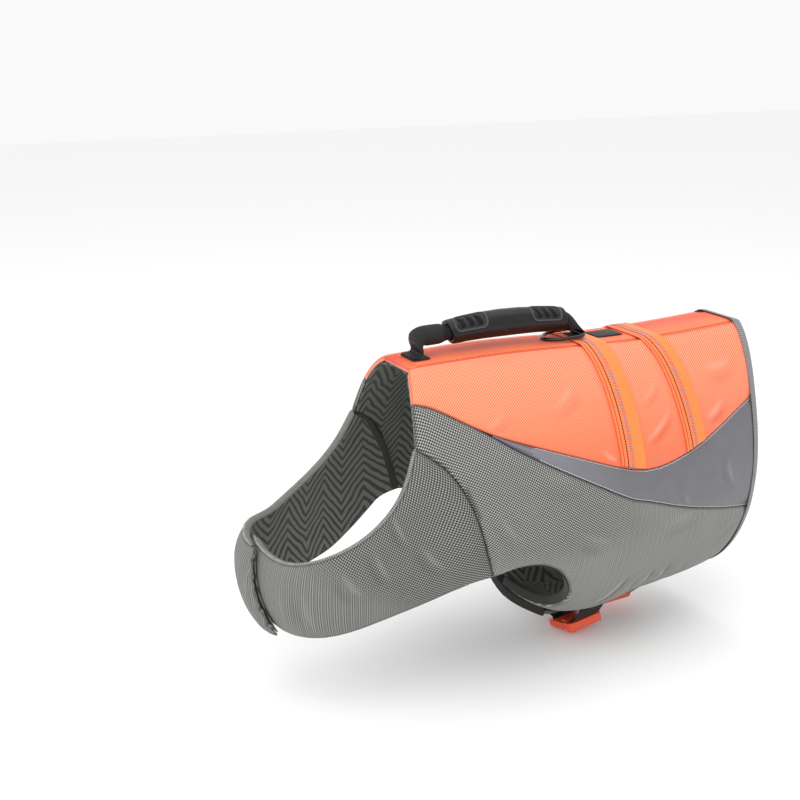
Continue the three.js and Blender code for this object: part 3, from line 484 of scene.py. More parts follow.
for name, side in SIDE_SIGNS.items():
    panel = copied(f"back_panel_{name}", f"back_cloth_{name}")
    walls[f"back_{name}"] = edge_walls(panel, from_axis)
    folds = mirrored(BACK_FOLDS, side)
    puffed(panel, round_body(side), from_axis, 1.5 * MM, folds, 0.7 * MM, under_bands)
    finished(panel, ORANGE_TWILL, f"back_panel_{name}")
    panels[f"back_{name}"] = panel


# Spine strip: flat foam in a smooth, redder cloth along the middle of the back. It is sewn to both back
# panels, and the handle, the ring's webbing, the tag and the bands are sewn on it.
strip_cloth = Finish("strip_cloth", Roughness=0.62, Sheen_Weight=0.1)
u, v = strip_cloth.along()
grain = u.ripple(0.9 * MM) * v.ripple(0.9 * MM)
patch = strip_cloth.cloud(0.03)
# Painted shade: across its width the strip darkens to a deeper red towards the far side
base = strip_cloth.mix(v.step(-0.016, 0.022), shade(230, 60, 32), shade(246, 112, 60))
colour = strip_cloth.mix(grain * 0.2 + patch * 0.15, base, shade(255, 154, 104))
colour = edge_cloth(strip_cloth, colour, shade(160, 40, 25))
STRIP_CLOTH = strip_cloth.done(colour, height=grain + patch, depth=0.15 * MM, strength=0.3)


PRESSED = ((-190, -158), (-26, 80))  # from the tab's start to the tag's end, in millimetres


def strip_press(co):
    """0 under the handle, the ring, the tag and the bands."""
    free = under_bands(co)
    for start, end in PRESSED:
        free *= smooth_step(max(start * MM - co.x, co.x - end * MM), 0, 12 * MM)
    return free


UP = Vector((0, 0, 1))
strip = copied("spine_strip", "spine_strip_cloth")
walls["strip"] = edge_walls(strip, lambda co: UP)
strip = puffed(strip, round_body(-1), lambda co: UP, 0.5 * MM, (), 0.35 * MM, strip_press)
finished(strip, STRIP_CLOTH, "spine_strip")
panels["strip"] = strip


# Side panels: foam in a coarse grey ballistic weave over the ribs. The belly flaps at their lower ends lap
# over one another, the right one outermost, and hang a little slack.
def ballistic(name, tilt, open_weave, painted_shade_factor=1.0):
    """A coarse plain weave: a lattice of light and dark dots, which closes to fine upright threads where
    open_weave falls from 1 to 0."""
    weave = Finish(name, Roughness=0.82, Sheen_Weight=0.05)
    # The last argument darkens every tone, for a copy of the weave in painted shade
    dark, low, high, thread, light = (shade(c * painted_shade_factor, c * painted_shade_factor, c * painted_shade_factor * 0.97) for c in WEAVE_TONES)
    u, v = weave.along()
    opened = open_weave(u, v) * 0.96 + 0.04
    across = u * math.cos(tilt) + v * math.sin(tilt)
    along = v * math.cos(tilt) - u * math.sin(tilt)
    warp = across.ripple(WEAVE_PITCH)
    weft = along.ripple(WEAVE_PITCH)
    dots = warp * weft
    holes = (1 - warp) * (1 - weft)
    threads = u.ripple(2.0 * MM) * 0.6 + u.ripple(2.7 * MM) * 0.4
    patch = weave.cloud(0.05)
    base = weave.mix(patch * 0.8, low, high)
    base = weave.mix(opened * 0.12, base, dark)
    colour = weave.mix(dots.step(0.35, 0.95) * opened, base, light)
    colour = weave.mix(holes.step(0.12, 0.5) * opened * 0.95, colour, dark)
    colour = weave.mix(threads.step(0.5, 0.9) * (1 - opened) * 0.8, colour, thread)
    colour = weave.mix(threads.step(0.4, 0.1) * (1 - opened) * 0.5, colour, dark)
    colour = edge_cloth(weave, colour, shade(40, 40, 37), 3.4 * MM)
    height = (dots - holes) * opened + threads * 0.5 + patch * 0.5
    return weave.done(colour, height=height, depth=0.4 * MM, strength=0.5)


WEAVE_PITCH = 2.3 * MM
WEAVE_TONES = (26, 112, 127, 166, 200)  # from the dark holes between the yarns to the light on them


def side_opening(u, v):
    """The weave is open over the ribs, and closes towards the belly and the tail."""
    return v.by("ABSOLUTE").step(0.252, 0.208) * u.step(0.09, -0.03)


SIDE_WEAVE = ballistic("grey_side_weave", 0.6, side_opening)
SIDE_FOLDS = [
    (-0.150, 0.170, -0.120, 0.212, 5 * MM, 0.9 * MM),
    (-0.132, 0.165, -0.112, 0.190, 3.5 * MM, 0.6 * MM),
    (-0.055, 0.215, -0.010, 0.235, 7 * MM, 1.0 * MM),
    (0.010, 0.330, 0.036, 0.285, 4.5 * MM, 2.3 * MM),
    (0.038, 0.338, 0.058, 0.298, 4 * MM, 2.0 * MM),
    (0.070, 0.332, 0.078, 0.296, 4 * MM, 2.2 * MM),
    (0.102, 0.330, 0.100, 0.298, 4 * MM, 1.7 * MM),
    (0.135, 0.330, 0.128, 0.305, 5 * MM, 1.0 * MM),
    (0.165, 0.290, 0.196, 0.270, 5 * MM, 0.8 * MM),
    (0.060, 0.240, 0.130, 0.232, 9 * MM, 0.8 * MM),
    (-0.100, 0.150, -0.040, 0.165, 9 * MM, 0.7 * MM),
]
for name, side in SIDE_SIGNS.items():
    panel = copied(f"side_panel_{name}", f"side_cloth_{name}")
    walls[f"side_{name}"] = edge_walls(panel, from_axis)
    folds = mirrored(SIDE_FOLDS, side)
    puffed(panel, round_body(side), from_axis, 1.6 * MM, folds, 0.9 * MM, crease=0.5)
    finished(panel, SIDE_WEAVE, f"side_panel_{name}")
    panels[f"side_{name}"] = panel


# Reflective panels: a crescent of grey reflective sheet over foam, sewn into each side below the wave. It
# starts in a point behind the shoulder and widens to the rear edge.
flash = Finish("reflective_sheet", Roughness=0.42, Metallic=0.15)
u, v = flash.along()
patch = flash.cloud(0.02)
fine = flash.cloud(0.0012, 1.0)
base = flash.mix(u.step(-0.10, 0.03), shade(119, 117, 126), shade(95, 94, 97))
colour = flash.mix(patch * 0.25 + fine * 0.2, base, shade(134, 133, 140))
colour = edge_cloth(flash, colour, shade(84, 82, 90))
REFLECTIVE = flash.done(colour, height=patch * 2 + fine * 0.3, depth=0.25 * MM, strength=0.3)
FLASH_FOLDS = [
    (0.010, 0.178, 0.034, 0.200, 4 * MM, 1.1 * MM),
    (0.085, 0.190, 0.100, 0.215, 4 * MM, 1.0 * MM),
    (0.150, 0.160, 0.166, 0.205, 5 * MM, 1.3 * MM),
]
for name, side in SIDE_SIGNS.items():
    panel = copied(f"reflective_panel_{name}", f"reflective_cloth_{name}")
    folds = mirrored(FLASH_FOLDS, side)
    puffed(panel, round_body(side), from_axis, 0.9 * MM, folds, 0.5 * MM, width=12 * MM)
    finished(panel, REFLECTIVE, f"reflective_panel_{name}")
    panels[f"reflective_{name}"] = panel


# Chest bands: the same grey cloth over foam, round the front of the chest. The right one laps over the left
# one, and thins towards its end there.
CHEST_MIDDLE = Vector((-0.235, 0, 0))
CHEST_RADIUS = 0.11


def round_chest(co):
    turn = math.atan2(-co.y, CHEST_MIDDLE.x - co.x)
    return turn * CHEST_RADIUS, -co.z


def from_chest(co):
    return Vector((co.x - CHEST_MIDDLE.x, co.y, 0)).normalized()


def chest_opening(u, v):
    """The weave is open beside the neck, and closes downwards and towards the middle."""
    return (u.by("ABSOLUTE") * 0.5 - v).step(-0.142, -0.1)


# Painted shade: the chest bands' weave is the same cloth, painted 0.88 times as light
CHEST_WEAVE = ballistic("grey_chest_weave", 0.5, chest_opening, 0.88)
CHEST_FOLDS = [
    (0.155, 0.115, 0.172, 0.150, 4 * MM, 1.3 * MM),
    (0.130, 0.150, 0.150, 0.185, 5 * MM, 1.2 * MM),
    (0.095, 0.170, 0.120, 0.200, 6 * MM, 1.2 * MM),
    (0.060, 0.185, 0.070, 0.235, 6 * MM, 1.0 * MM),
    (0.180, 0.150, 0.205, 0.180, 5 * MM, 1.2 * MM),
    (0.035, 0.190, 0.040, 0.225, 5 * MM, 1.0 * MM),
]
FAR_GATHERS = [
    (-0.006, 0.182, -0.002, 0.225, 3 * MM, 1.0 * MM),
    (-0.018, 0.184, -0.013, 0.215, 3 * MM, 0.8 * MM),
    (-0.032, 0.183, -0.024, 0.235, 4 * MM, 0.9 * MM),
    (-0.050, 0.180, -0.048, 0.215, 4 * MM, 0.7 * MM),
    (-0.080, 0.175, -0.086, 0.220, 6 * MM, 0.9 * MM),
    (-0.120, 0.160, -0.135, 0.200, 6 * MM, 0.9 * MM),
]


def near_press(co):
    """The left band lies flat where the right one covers it."""
    return smooth_step(-co.y, 0.03, 0.05)


END_DROP = 3.6 * MM  # how much thinner the outer band's end is than the band
lowered = {}


def end_lowering(end):
    """How far the outer side is brought in near the band's end."""
    tree = tree_of([(outer_end + inner_end) / 2 for outer_end, inner_end, _ in end])

    def lowering(co):
        middle, at, distance = tree.find(co)
        thickness = (end[at][0] - end[at][1]).length
        share = (co - middle).dot(from_chest(co)) / thickness + 0.5
        return END_DROP * smooth_step(-distance, -18 * MM, -3 * MM) * min(max(share, 0), 1)

    return lowering


CHEST = {"left": (CHEST_FOLDS, near_press), "right": (FAR_GATHERS, lambda co: 1)}
for name, (folds, press) in CHEST.items():
    panel = copied(f"chest_band_{name}", f"chest_cloth_{name}")
    walls[name] = edge_walls(panel, from_chest)
    end = [rung for rung in walls[name] if rung[2].y < -0.7 and rung[0].x < -0.3]
    lowered[name] = end_lowering(end) if name == "right" else lambda co: 0
    shape = (1.2 * MM, folds, 0.6 * MM, press)
    puffed(panel, round_chest, from_chest, *shape, crease=0.85, lower=lowered[name])
    finished(panel, CHEST_WEAVE, f"chest_band_{name}")
    panels[f"chest_{name}"] = panel


# Rolled rims: along both edges of each chest band the grey cloth is turned over the foam in a soft roll. The
# roll, and the rest of the neck edge, are overcast with short stitches.
CROWN_TURN = 0.75  # how far round a roll its stitches lie, from its outer end


def rolled_rim(name, stretch, half_thick, inside, outside, material, slot, lower=lambda co: 0):
    """A soft roll over a stretch of edge wall, and the line along its crown for its stitches."""
    sides = 12
    roll = bmesh.new()
    layer = roll.loops.layers.uv.new("cloth")
    rings, crown, lengths = [], [], [0]
    for outer_end, inner_end, out in stretch:
        across = (outer_end - inner_end).normalized()
        high, low = outer_end + across * (outside - lower(outer_end)), inner_end - across * inside
        middle = (high + low) / 2
        half = (high - low).length / 2
        turns = [2 * math.pi * k / sides for k in range(sides)]
        ring = [middle + across * half * math.cos(t) + out * half_thick * math.sin(t) for t in turns]
        rings.append([roll.verts.new(co) for co in ring])
        up_share, out_share = math.cos(CROWN_TURN), math.sin(CROWN_TURN)
        normal = (across * half_thick * up_share + out * half * out_share).normalized()
        crown.append((middle + across * half * up_share + out * half_thick * out_share, normal))
        if len(crown) > 1:
            lengths.append(lengths[-1] + (crown[-1][0] - crown[-2][0]).length)
    for at, (ring, following) in enumerate(zip(rings, rings[1:])):
        for k in range(sides):
            ahead = (k + 1) % sides
            face = roll.faces.new((ring[k], ring[ahead], following[ahead], following[k]))
            corners = ((at, k), (at, k + 1), (at + 1, k + 1), (at + 1, k))
            for loop, (step, turn) in zip(face.loops, corners):
                loop[layer].uv = (lengths[step], turn * 1.2 * MM)
    for ring in (rings[0], rings[-1]):
        roll.faces.new(ring)
    bmesh.ops.recalc_face_normals(roll, faces=roll.faces)
    mesh = bpy.data.meshes.new(name)
    roll.to_mesh(mesh)
    roll.free()
    piece = bpy.data.objects.new(name, mesh)
    bpy.context.scene.collection.objects.link(piece)
    applied(piece, "SUBSURF", levels=2, render_levels=2)
    mesh.materials.append(material)
    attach(smoothed(piece), "jacket")
    return crown


rim_cloth = Finish("rim_cloth", Roughness=0.8, Sheen_Weight=0.08)
u, v = rim_cloth.along()
rib = u.ripple(2.1 * MM)
patch = rim_cloth.cloud(0.006)
colour = rim_cloth.mix(rib * 0.7 + patch * 0.3, shade(58, 59, 55), shade(140, 141, 136))
RIM_CLOTH = rim_cloth.done(colour, height=rib + patch, depth=0.4 * MM, strength=0.6)
overcast = []
RIM_SIDES = {
    "upper": (lambda co, out: out.z - 0.9 * out.x > 0.6, 2.2 * MM, 2.6 * MM, 1.5 * MM),
    "lower": (lambda co, out: out.z < -0.5, 1.1 * MM, 1.8 * MM, 0.9 * MM),
}
for name in SIDE_SIGNS:
    for edge, (keep, half_thick, inside, outside) in RIM_SIDES.items():
        for stretch in runs_where(walls[name], keep):
            piece_name = f"chest_rim_{edge}_{name}"
            sizes = (half_thick, inside, outside)
            overcast.append(rolled_rim(piece_name, stretch, *sizes, RIM_CLOTH, "grey_cloth", lowered[name]))
chest_points = tree_of([rung[0] for name in SIDE_SIGNS for rung in walls[name]])


def on_neck_edge(co, out):
    """On an edge that faces ahead and has no chest band in front of it."""
    return out.x < -0.6 and chest_points.find(co)[2] > 8 * MM


for key in ("strip", "back_left", "back_right", "side_left", "side_right"):
    for stretch in runs_where(walls[key], on_neck_edge):
        overcast.append([(inner_end.lerp(outer_end, 0.2), out) for outer_end, inner_end, out in stretch])


# Linings: dark polyester printed with a plain herringbone, one for each half of the body and of the chest.
# They are sewn in at the edges only and lie slightly loose on the foam.
LINING_RIB = 11 * MM
LINING_TURN = 56 * MM
lining_print = Finish("lining_print", Roughness=0.75, Sheen_Weight=0.1)
u, v = lining_print.along()
zigzag = (u * (1 / LINING_TURN)).by("FRACT").by("SUBTRACT", 0.5).by("ABSOLUTE") * (1.2 * LINING_TURN)
crumple = (lining_print.cloud(0.035) - 0.5) * (16 * MM)
bars = (v + zigzag + crumple).ripple(LINING_RIB)
patch = lining_print.cloud(0.03)
thread = u.ripple(0.8 * MM) * v.ripple(0.8 * MM)
colour = lining_print.mix(bars.step(0.30, 0.48), shade(28, 30, 26), shade(98, 101, 93))
colour = lining_print.mix(patch * 0.25, colour, shade(112, 114, 108))
LINING_CLOTH = lining_print.done(colour, height=thread + patch * 2, depth=0.2 * MM, strength=0.35)


def loosened(piece, levels, place, away, rough, folds=()):
    """A thin cloth inside the foam: rounded, and eased inwards in slow waves and the folds given."""
    rim = tree_of(sharp_points(piece, 3 * MM))
    subdivided(piece, levels, 1.0)
    mesh = piece.data
    moved = []
    for vertex in mesh.vertices:
        co = vertex.co
        inner = smooth_step(rim.find(co)[2], 3 * MM, 25 * MM)
        u, v = place(co)
        ease = rough * (0.6 + noise.noise(co * 18) + 0.7 * noise.noise(co * 40))
        ease -= fold_lift(folds, u, v)
        moved.append(co - away(co) * max(ease, 0) * inner)
    mesh.vertices.foreach_set("co", [value for co in moved for value in co])
    mesh.update()
    laid_out(piece, place)
    return smoothed(piece)


# The linings' cut sizes, width by length, and the share of it that the curved cut fills.
LINING_FLAT = {"left": (0.41, 0.43), "right": (0.41, 0.40)}
LINING_AREA = {"left": 0.136, "right": 0.130}
CHEST_FLAT = {"left": (0.12, 0.30), "right": (0.12, 0.27)}
CHEST_AREA = {"left": 0.025, "right": 0.025}
for name, side in SIDE_SIGNS.items():
    lining = copied(f"lining_{name}", f"lining_cloth_{name}")
    loosened(lining, 2, round_body(side), from_axis, 1.8 * MM)
    finished(lining, LINING_CLOTH, f"lining_{name}")
    LINING_FLAT[name]
    LINING_AREA[name]
    panels[f"lining_{name}"] = lining
    lining = copied(f"chest_lining_{name}", f"chest_lining_cloth_{name}")
    loosened(lining, 2, round_chest, from_chest, 1.2 * MM)
    finished(lining, LINING_CLOTH, f"chest_lining_{name}")
    CHEST_FLAT[name]
    CHEST_AREA[name]
    panels[f"chest_lining_{name}"] = lining


# Seam tape: a soft dark tape inside each shoulder, sewn over the joint between the chest lining and the body
# lining.
seam_tape = Finish("seam_tape", Roughness=0.8)
patch = seam_tape.cloud(0.004)
colour = seam_tape.mix(patch, shade(30, 32, 28), shade(52, 54, 49))
SEAM_TAPE = seam_tape.done(colour, height=patch, depth=0.2 * MM)
TAPE_STEP = 4 * MM
for name in SIDE_SIGNS:
    body_lining = tree_of([vertex.co for vertex in panels[f"lining_{name}"].data.vertices])
    points = [vertex.co for vertex in panels[f"chest_lining_{name}"].data.vertices]
    points = [co for co in points if body_lining.find(co)[2] < 5 * MM]
    top, bottom = max(points, key=lambda co: co.z), min(points, key=lambda co: co.z)
    down = (bottom - top).normalized()
    steps = defaultdict(list)
    for co in points:
        steps[round(co.dot(down) / TAPE_STEP)].append(co)
    middles = [sum(steps[key], Vector()) / len(steps[key]) for key in sorted(steps)]
    tape = []
    for co in middles:
        away = from_axis(co)
        tape.append((co + away * 0.5 * MM, co - away * 0.5 * MM, away.cross(down).normalized()))
    rolled_rim(f"lining_seam_{name}", tape, 5 * MM, 0.2 * MM, 0.8 * MM, SEAM_TAPE, "lining_cloth")


# Edge bindings: ribbed tape folded over the cut edges of the cloth and sewn through, grey over the rear edge
# and dark over the edge behind each leg.
def ribbed(name, by, dark, light, pitch):
    """Tape whose ribs run across it."""
    tape = Finish(name, Roughness=0.7, Sheen_Weight=0.08)
    lengths = tape.along()
    rib = lengths[by].ripple(pitch)
    patch = tape.cloud(0.01)
    colour = tape.mix(rib * 0.8 + patch * 0.2, dark, light)
    return tape.done(colour, height=rib + patch * 0.3, depth=0.3 * MM, strength=0.5)


LEG_X, LEG_Z, LEG_RADIUS = -0.07, -0.24, 0.065


def round_leg(co):
    """Lengths round the leg's arch and across it."""
    return math.atan2(co.x - LEG_X, co.z - LEG_Z) * LEG_RADIUS, co.y


BINDING_TAPE = ribbed("binding_tape", 1, shade(92, 90, 93), shade(152, 150, 154), 1.8 * MM)
LEG_TAPE = ribbed("leg_binding_tape", 0, shade(12, 13, 11), shade(44, 45, 41), 2.2 * MM)
binding = subdivided(copied("rear_binding", "rear_binding_tape"), 2, 0.8)
laid_out(binding, round_body(-1))
finished(smoothed(binding), BINDING_TAPE, "rear_binding")
panels["rear_binding"] = binding
for name in SIDE_SIGNS:
    edge = subdivided(copied(f"leg_binding_{name}", f"leg_binding_tape_{name}"), 2, 0.8)
    laid_out(edge, round_leg)
    finished(smoothed(edge), LEG_TAPE, f"leg_binding_{name}")


# Bands: two lengths of orange webbing over the back, sewn down along a dark line of stitches. A raised
# ladder of reflective yarn runs along the middle of each.
band_tape = Finish("band_webbing", Roughness=0.6, Sheen_Weight=0.1)
across = band_tape.measured("across")
u, v = band_tape.along()
rib = v.ripple(1.3 * MM)
patch = band_tape.cloud(0.02)
colour = band_tape.mix(across.step(16 * MM, 18 * MM), shade(244, 104, 48), shade(246, 116, 36))
colour = band_tape.mix(rib * 0.4 + patch * 0.2, colour, shade(255, 158, 88))
# Painted shade in the groove 3 mm behind the band's front edge, which the bump also sinks
colour = band_tape.mix(across.stripe(3 * MM, 0.7 * MM, 0.5 * MM) * 0.85, colour, shade(190, 44, 12))
colour = band_tape.mix(across.stripe(8 * MM, 0.5 * MM, 0.5 * MM) * 0.7, colour, shade(130, 40, 20))
height = rib * 0.6 + patch - across.stripe(3 * MM, 0.9 * MM, 0.5 * MM) * 2
BAND_TAPE = band_tape.done(colour, height=height, depth=0.3 * MM, strength=0.5)
BAND_FLAT = {"front": (0.031, 0.362), "rear": (0.031, 0.305)}
BAND_STEP = 4 * MM


def steps_down(co):
    """How many steps of cloth a point lies below the spine."""
    left = Vector((co.x, -abs(co.y), co.z))
    return abs(round_body(-1)(left)[1]) / BAND_STEP


for name in BANDS:
    band = copied(f"webbing_band_{name}", f"band_{name}")
    fronts = {}
    for co in sharp_points(band, 1 * MM):
        step = round(steps_down(co))
        fronts[step] = min(fronts.get(step, 1), co.x)
    last = max(fronts)
    slant = (fronts[last - 4] - fronts[last - 14]) / 10
    for step in range(last - 3, last + 12):
        fronts[step] = fronts[last - 4] + slant * (step - last + 4)

    def behind_front(co):
        """Distance behind the band's front edge."""
        at = steps_down(co)
        low = math.floor(at)
        return co.x - fronts[low] - (fronts[low + 1] - fronts[low]) * (at - low)

    subdivided(band, 3, 0.9)
    noted(band, "across", [behind_front(vertex.co) for vertex in band.data.vertices])
    laid_out(band, round_body(-1))
    finished(smoothed(band), BAND_TAPE, f"webbing_band_{name}")
    BAND_FLAT[name]
    panels[f"band_{name}"] = band


# Sewing: rows of stitches in red, grey, light and dark thread along the seams, the bands and the rims. The
# light thread on the reflective panels is also a painted highlight along their edges. Each stitch is a short
# raised thread that dips into the cloth at both ends.
def contour(piece, values, level, keep):
    """Chains of (point, normal) where values passes level on the faces kept."""
    mesh = piece.data
    beside = defaultdict(list)
    for polygon in mesh.polygons:
        cut = [key for key in polygon.edge_keys if (values[key[0]] < level) != (values[key[1]] < level)]
        if len(cut) == 2 and keep(polygon.center, polygon.normal):
            beside[cut[0]].append(cut[1])
            beside[cut[1]].append(cut[0])

    def crossing(key):
        a, b = (mesh.vertices[k] for k in key)
        share = (level - values[key[0]]) / (values[key[1]] - values[key[0]])
        return a.co.lerp(b.co, share), a.normal.lerp(b.normal, share).normalized()

    chains = []
    unused = dict.fromkeys(sorted(beside, key=lambda key: (len(beside[key]), key)))
    while unused:
        key = next(iter(unused))
        chain = []
        while key is not None:
            unused.pop(key)
            chain.append(crossing(key))
            key = next((other for other in beside[key] if other in unused), None)
        if len(chain) > 3:
            chains.append(chain)
    return chains


def spaced(chain, pitch):
    """Places at equal steps along a chain: point, direction and normal."""
    places = []
    ahead = pitch / 2
    for (start, normal), (end, _) in zip(chain, chain[1:]):
        step = end - start
        length = step.length
        if length < 1e-7:
            continue
        while ahead <= length:
            places.append((start + step * (ahead / length), step / length, normal))
            ahead += pitch
        ahead -= length
    return places


def stitch_mesh(long, wide, high):
    """One stitch: a short thread along X, thick in its middle and dipping at both ends."""
    bpy.ops.object.select_all(action="DESELECT")
    bpy.ops.mesh.primitive_cylinder_add(vertices=6, radius=1, depth=0.8, rotation=(0, math.pi / 2, 0))
    stitch = bpy.context.object
    bpy.ops.object.transform_apply(rotation=True)
    bpy.ops.object.mode_set(mode="EDIT")
    for end in (-1, 1):
        bpy.ops.mesh.select_all(action="DESELECT")
        body = bmesh.from_edit_mesh(stitch.data)
        for face in body.faces:
            face.select_set(face.normal.x * end > 0.9)
        bmesh.update_edit_mesh(stitch.data)
        bpy.ops.mesh.extrude_region_move(TRANSFORM_OT_translate={"value": (0.1 * end, 0, -0.6)})
        bpy.ops.transform.resize(value=(1, 0.45, 0.45))
    bpy.ops.object.mode_set(mode="OBJECT")
    stitch.scale = (long, wide / 2, high / 2)
    bpy.ops.object.transform_apply(scale=True)
    mesh = stitch.data
    bpy.data.objects.remove(stitch)
    return mesh


def sewn(name, rows, size, pitch, material, turned=False, sink=0.1 * MM):
    """One piece that holds every stitch of the rows given."""
    thread = stitch_mesh(*size)
    seam = bmesh.new()
    for chain in rows:
        for point, along, normal in spaced(chain, pitch):
            side = normal.cross(along).normalized()
            along = side.cross(normal)
            if turned:
                along, side = side, -along
            placed = Matrix((along, side, normal)).transposed().to_4x4()
            placed.translation = point - normal * sink
            start = len(seam.verts)
            seam.from_mesh(thread)
            seam.verts.ensure_lookup_table()
            bmesh.ops.transform(seam, matrix=placed, verts=seam.verts[start:])
    mesh = bpy.data.meshes.new(name)
    seam.to_mesh(mesh)
    seam.free()
    piece = bpy.data.objects.new(name, mesh)
    bpy.context.scene.collection.objects.link(piece)
    mesh.materials.append(material)
    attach(piece, "jacket")
    return smoothed(piece)


def thread_finish(name, dark, light):
    thread = Finish(name, Roughness=0.6)
    spots = thread.cloud(0.0012)
    return thread.done(thread.mix(spots, dark, light), height=spots, depth=0.1 * MM, strength=0.4)


def values_of(piece, name):
    return [item.value for item in piece.data.attributes[name].data]


def outer(away):
    """A test for faces that look outwards."""
    return lambda co, normal: normal.dot(away(co)) > 0.35


def near(points, reach):
    """A test for places within reach of the given points."""
    tree = tree_of(points)
    return lambda co: tree.find(co)[2] < reach


def some_points(piece):
    return [vertex.co for vertex in list(piece.data.vertices)[::3]]


RED_THREAD = thread_finish("red_thread", shade(150, 18, 4), shade(196, 34, 12))
GREY_THREAD = thread_finish("grey_thread", shade(58, 54, 68), shade(96, 92, 108))
# Light thread for the reflective panels' seams; its light colour is also a painted highlight along their
# edges
LIGHT_THREAD_AND_HIGHLIGHT = thread_finish("light_thread_and_highlight", shade(172, 171, 174), shade(208, 207, 210))
DARK_THREAD = thread_finish("dark_thread", shade(44, 18, 12), shade(78, 36, 26))
STITCH = (2.9 * MM, 1.1 * MM, 0.9 * MM)

strip_rim = values_of(panels["strip"], "rim")
rows = contour(panels["strip"], strip_rim, 2.4 * MM, lambda co, n: n.z > 0.5 and -0.185 < co.x < 0.212)
for level in (-0.191, -0.188, -0.185):  # three rows across the strip, ahead of the handle
    xs = [vertex.co.x for vertex in panels["strip"].data.vertices]
    rows += contour(panels["strip"], xs, level, lambda co, n: n.z > 0.5 and abs(co.y) < 0.024)
sewn("strip_stitching", rows, STITCH, 3.7 * MM, RED_THREAD)

for name in SIDE_SIGNS:
    wave = near(some_points(panels[f"back_{name}"]), 6 * MM)
    facing = outer(from_axis)
    panel = panels[f"side_{name}"]
    rows = contour(panel, values_of(panel, "rim"), 1.9 * MM, lambda co, n: facing(co, n) and wave(co))
    sewn(f"wave_stitching_{name}", rows, STITCH, 3.9 * MM, GREY_THREAD)
    low_seam = near(some_points(panels[f"side_{name}"]), 6 * MM)
    panel = panels[f"reflective_{name}"]
    rim = values_of(panel, "rim")
    rows = contour(panel, rim, 1.4 * MM, lambda co, n: facing(co, n) and low_seam(co) and co.x > -0.088)
    rows += contour(panel, rim, 1.2 * MM, lambda co, n: facing(co, n) and wave(co) and co.x > -0.092)
    sewn(f"reflective_stitching_{name}", rows, STITCH, 3.4 * MM, LIGHT_THREAD_AND_HIGHLIGHT)

RIM_THREAD = thread_finish("rim_thread", shade(120, 121, 117), shade(196, 196, 190))
RIM_STITCH = (2.6 * MM, 1.0 * MM, 0.8 * MM)
sewn("rim_overcast", overcast, RIM_STITCH, 2.4 * MM, RIM_THREAD, True, 0.3 * MM)

ladder_finish = Finish("ladder_yarn", Roughness=0.4, Metallic=0.2)
spots = ladder_finish.cloud(0.001)
yarn = ladder_finish.mix(spots, shade(104, 88, 116), shade(158, 144, 166))
LADDER_YARN = ladder_finish.done(yarn, height=spots, depth=0.1 * MM, strength=0.4)
BAND_STITCH = (2.9 * MM, 1.5 * MM, 1.1 * MM)
RUNG = (4.6 * MM, 1.4 * MM, 0.9 * MM)
for name in BANDS:
    band = panels[f"band_{name}"]
    across = values_of(band, "across")
    rows = contour(band, across, 8 * MM, outer(from_axis))
    sewn(f"band_stitching_{name}", rows, BAND_STITCH, 3.2 * MM, DARK_THREAD)
    rows = contour(band, across, 14 * MM, outer(from_axis))
    sewn(f"band_ladder_{name}", rows, RUNG, 2.6 * MM, LADDER_YARN, True)


# Handle: black webbing sewn flat on the strip in front, rolled to a tube through the grip, and folded down
# behind it round the bar of the ring.
webbing = Finish("black_webbing", Roughness=0.6, Specular_IOR_Level=0.25)
u, v = webbing.along()
rib = u.ripple(2.4 * MM)
cord = v.ripple(1.6 * MM)
patch = webbing.cloud(0.006)
# Painted highlight: the ribs of the black webbing are grey on their crowns
colour = webbing.mix(rib * 0.75 + cord * 0.15, shade(5, 5, 6), shade(54, 53, 52))
BLACK_WEBBING = webbing.done(colour, height=rib + cord * 0.2 + patch * 0.3, depth=0.7 * MM, strength=0.8)


HANDLE_Z = 0.033
HANDLE_RADIUS = 0.011


def along_back(co):
    return co.x + 0.6 * co.z, math.atan2(co.y, co.z - HANDLE_Z) * HANDLE_RADIUS


handle = subdivided(copied("handle_webbing", "handle_strap"), 2, 0.3)
laid_out(handle, along_back)
finished(smoothed(handle), BLACK_WEBBING, "handle_webbing")

tab = subdivided(copied("handle_tab", "handle_tab_webbing"), 3, 0.95)
laid_out(tab, lambda co: (co.x, co.y))
finished(smoothed(tab), BLACK_WEBBING, "handle_tab")


# Grip: one moulding of satin black rubber round the webbing. Near each end three slots lie in a sunk, rounded
# frame, and an oval is engraved in its left side.
GRIP_LINE = [
    (-140, 32.6, 12.4), (-138.5, 32.8, 13.1), (-118, 34.6, 13.4), (-97, 35.9, 14), (-75, 36.3, 14.4),
    (-52, 36, 14.2), (-30, 34.9, 13.6), (-10, 33.3, 13.2), (1, 32.3, 13), (2.5, 32.1, 12.3),
]  # x, height and radius in millimetres
BORE = 8.6  # radius of the hole for the webbing, in millimetres
FRONT_TILT = -0.31  # turn of the front end face
ARC = 13.5  # radius that turns an angle round the grip into a length
SLOT_TURN = 0.7 * ARC
OVAL_TURN = 1.64 * ARC


def on_grip(x):
    """Height and radius of the grip at x, all in millimetres."""
    for (x0, z0, r0), (x1, z1, r1) in zip(GRIP_LINE, GRIP_LINE[1:]):
        if x <= x1:
            share = max(0, (x - x0) / (x1 - x0))
            return z0 + (z1 - z0) * share, r0 + (r1 - r0) * share
    return GRIP_LINE[-1][1:]


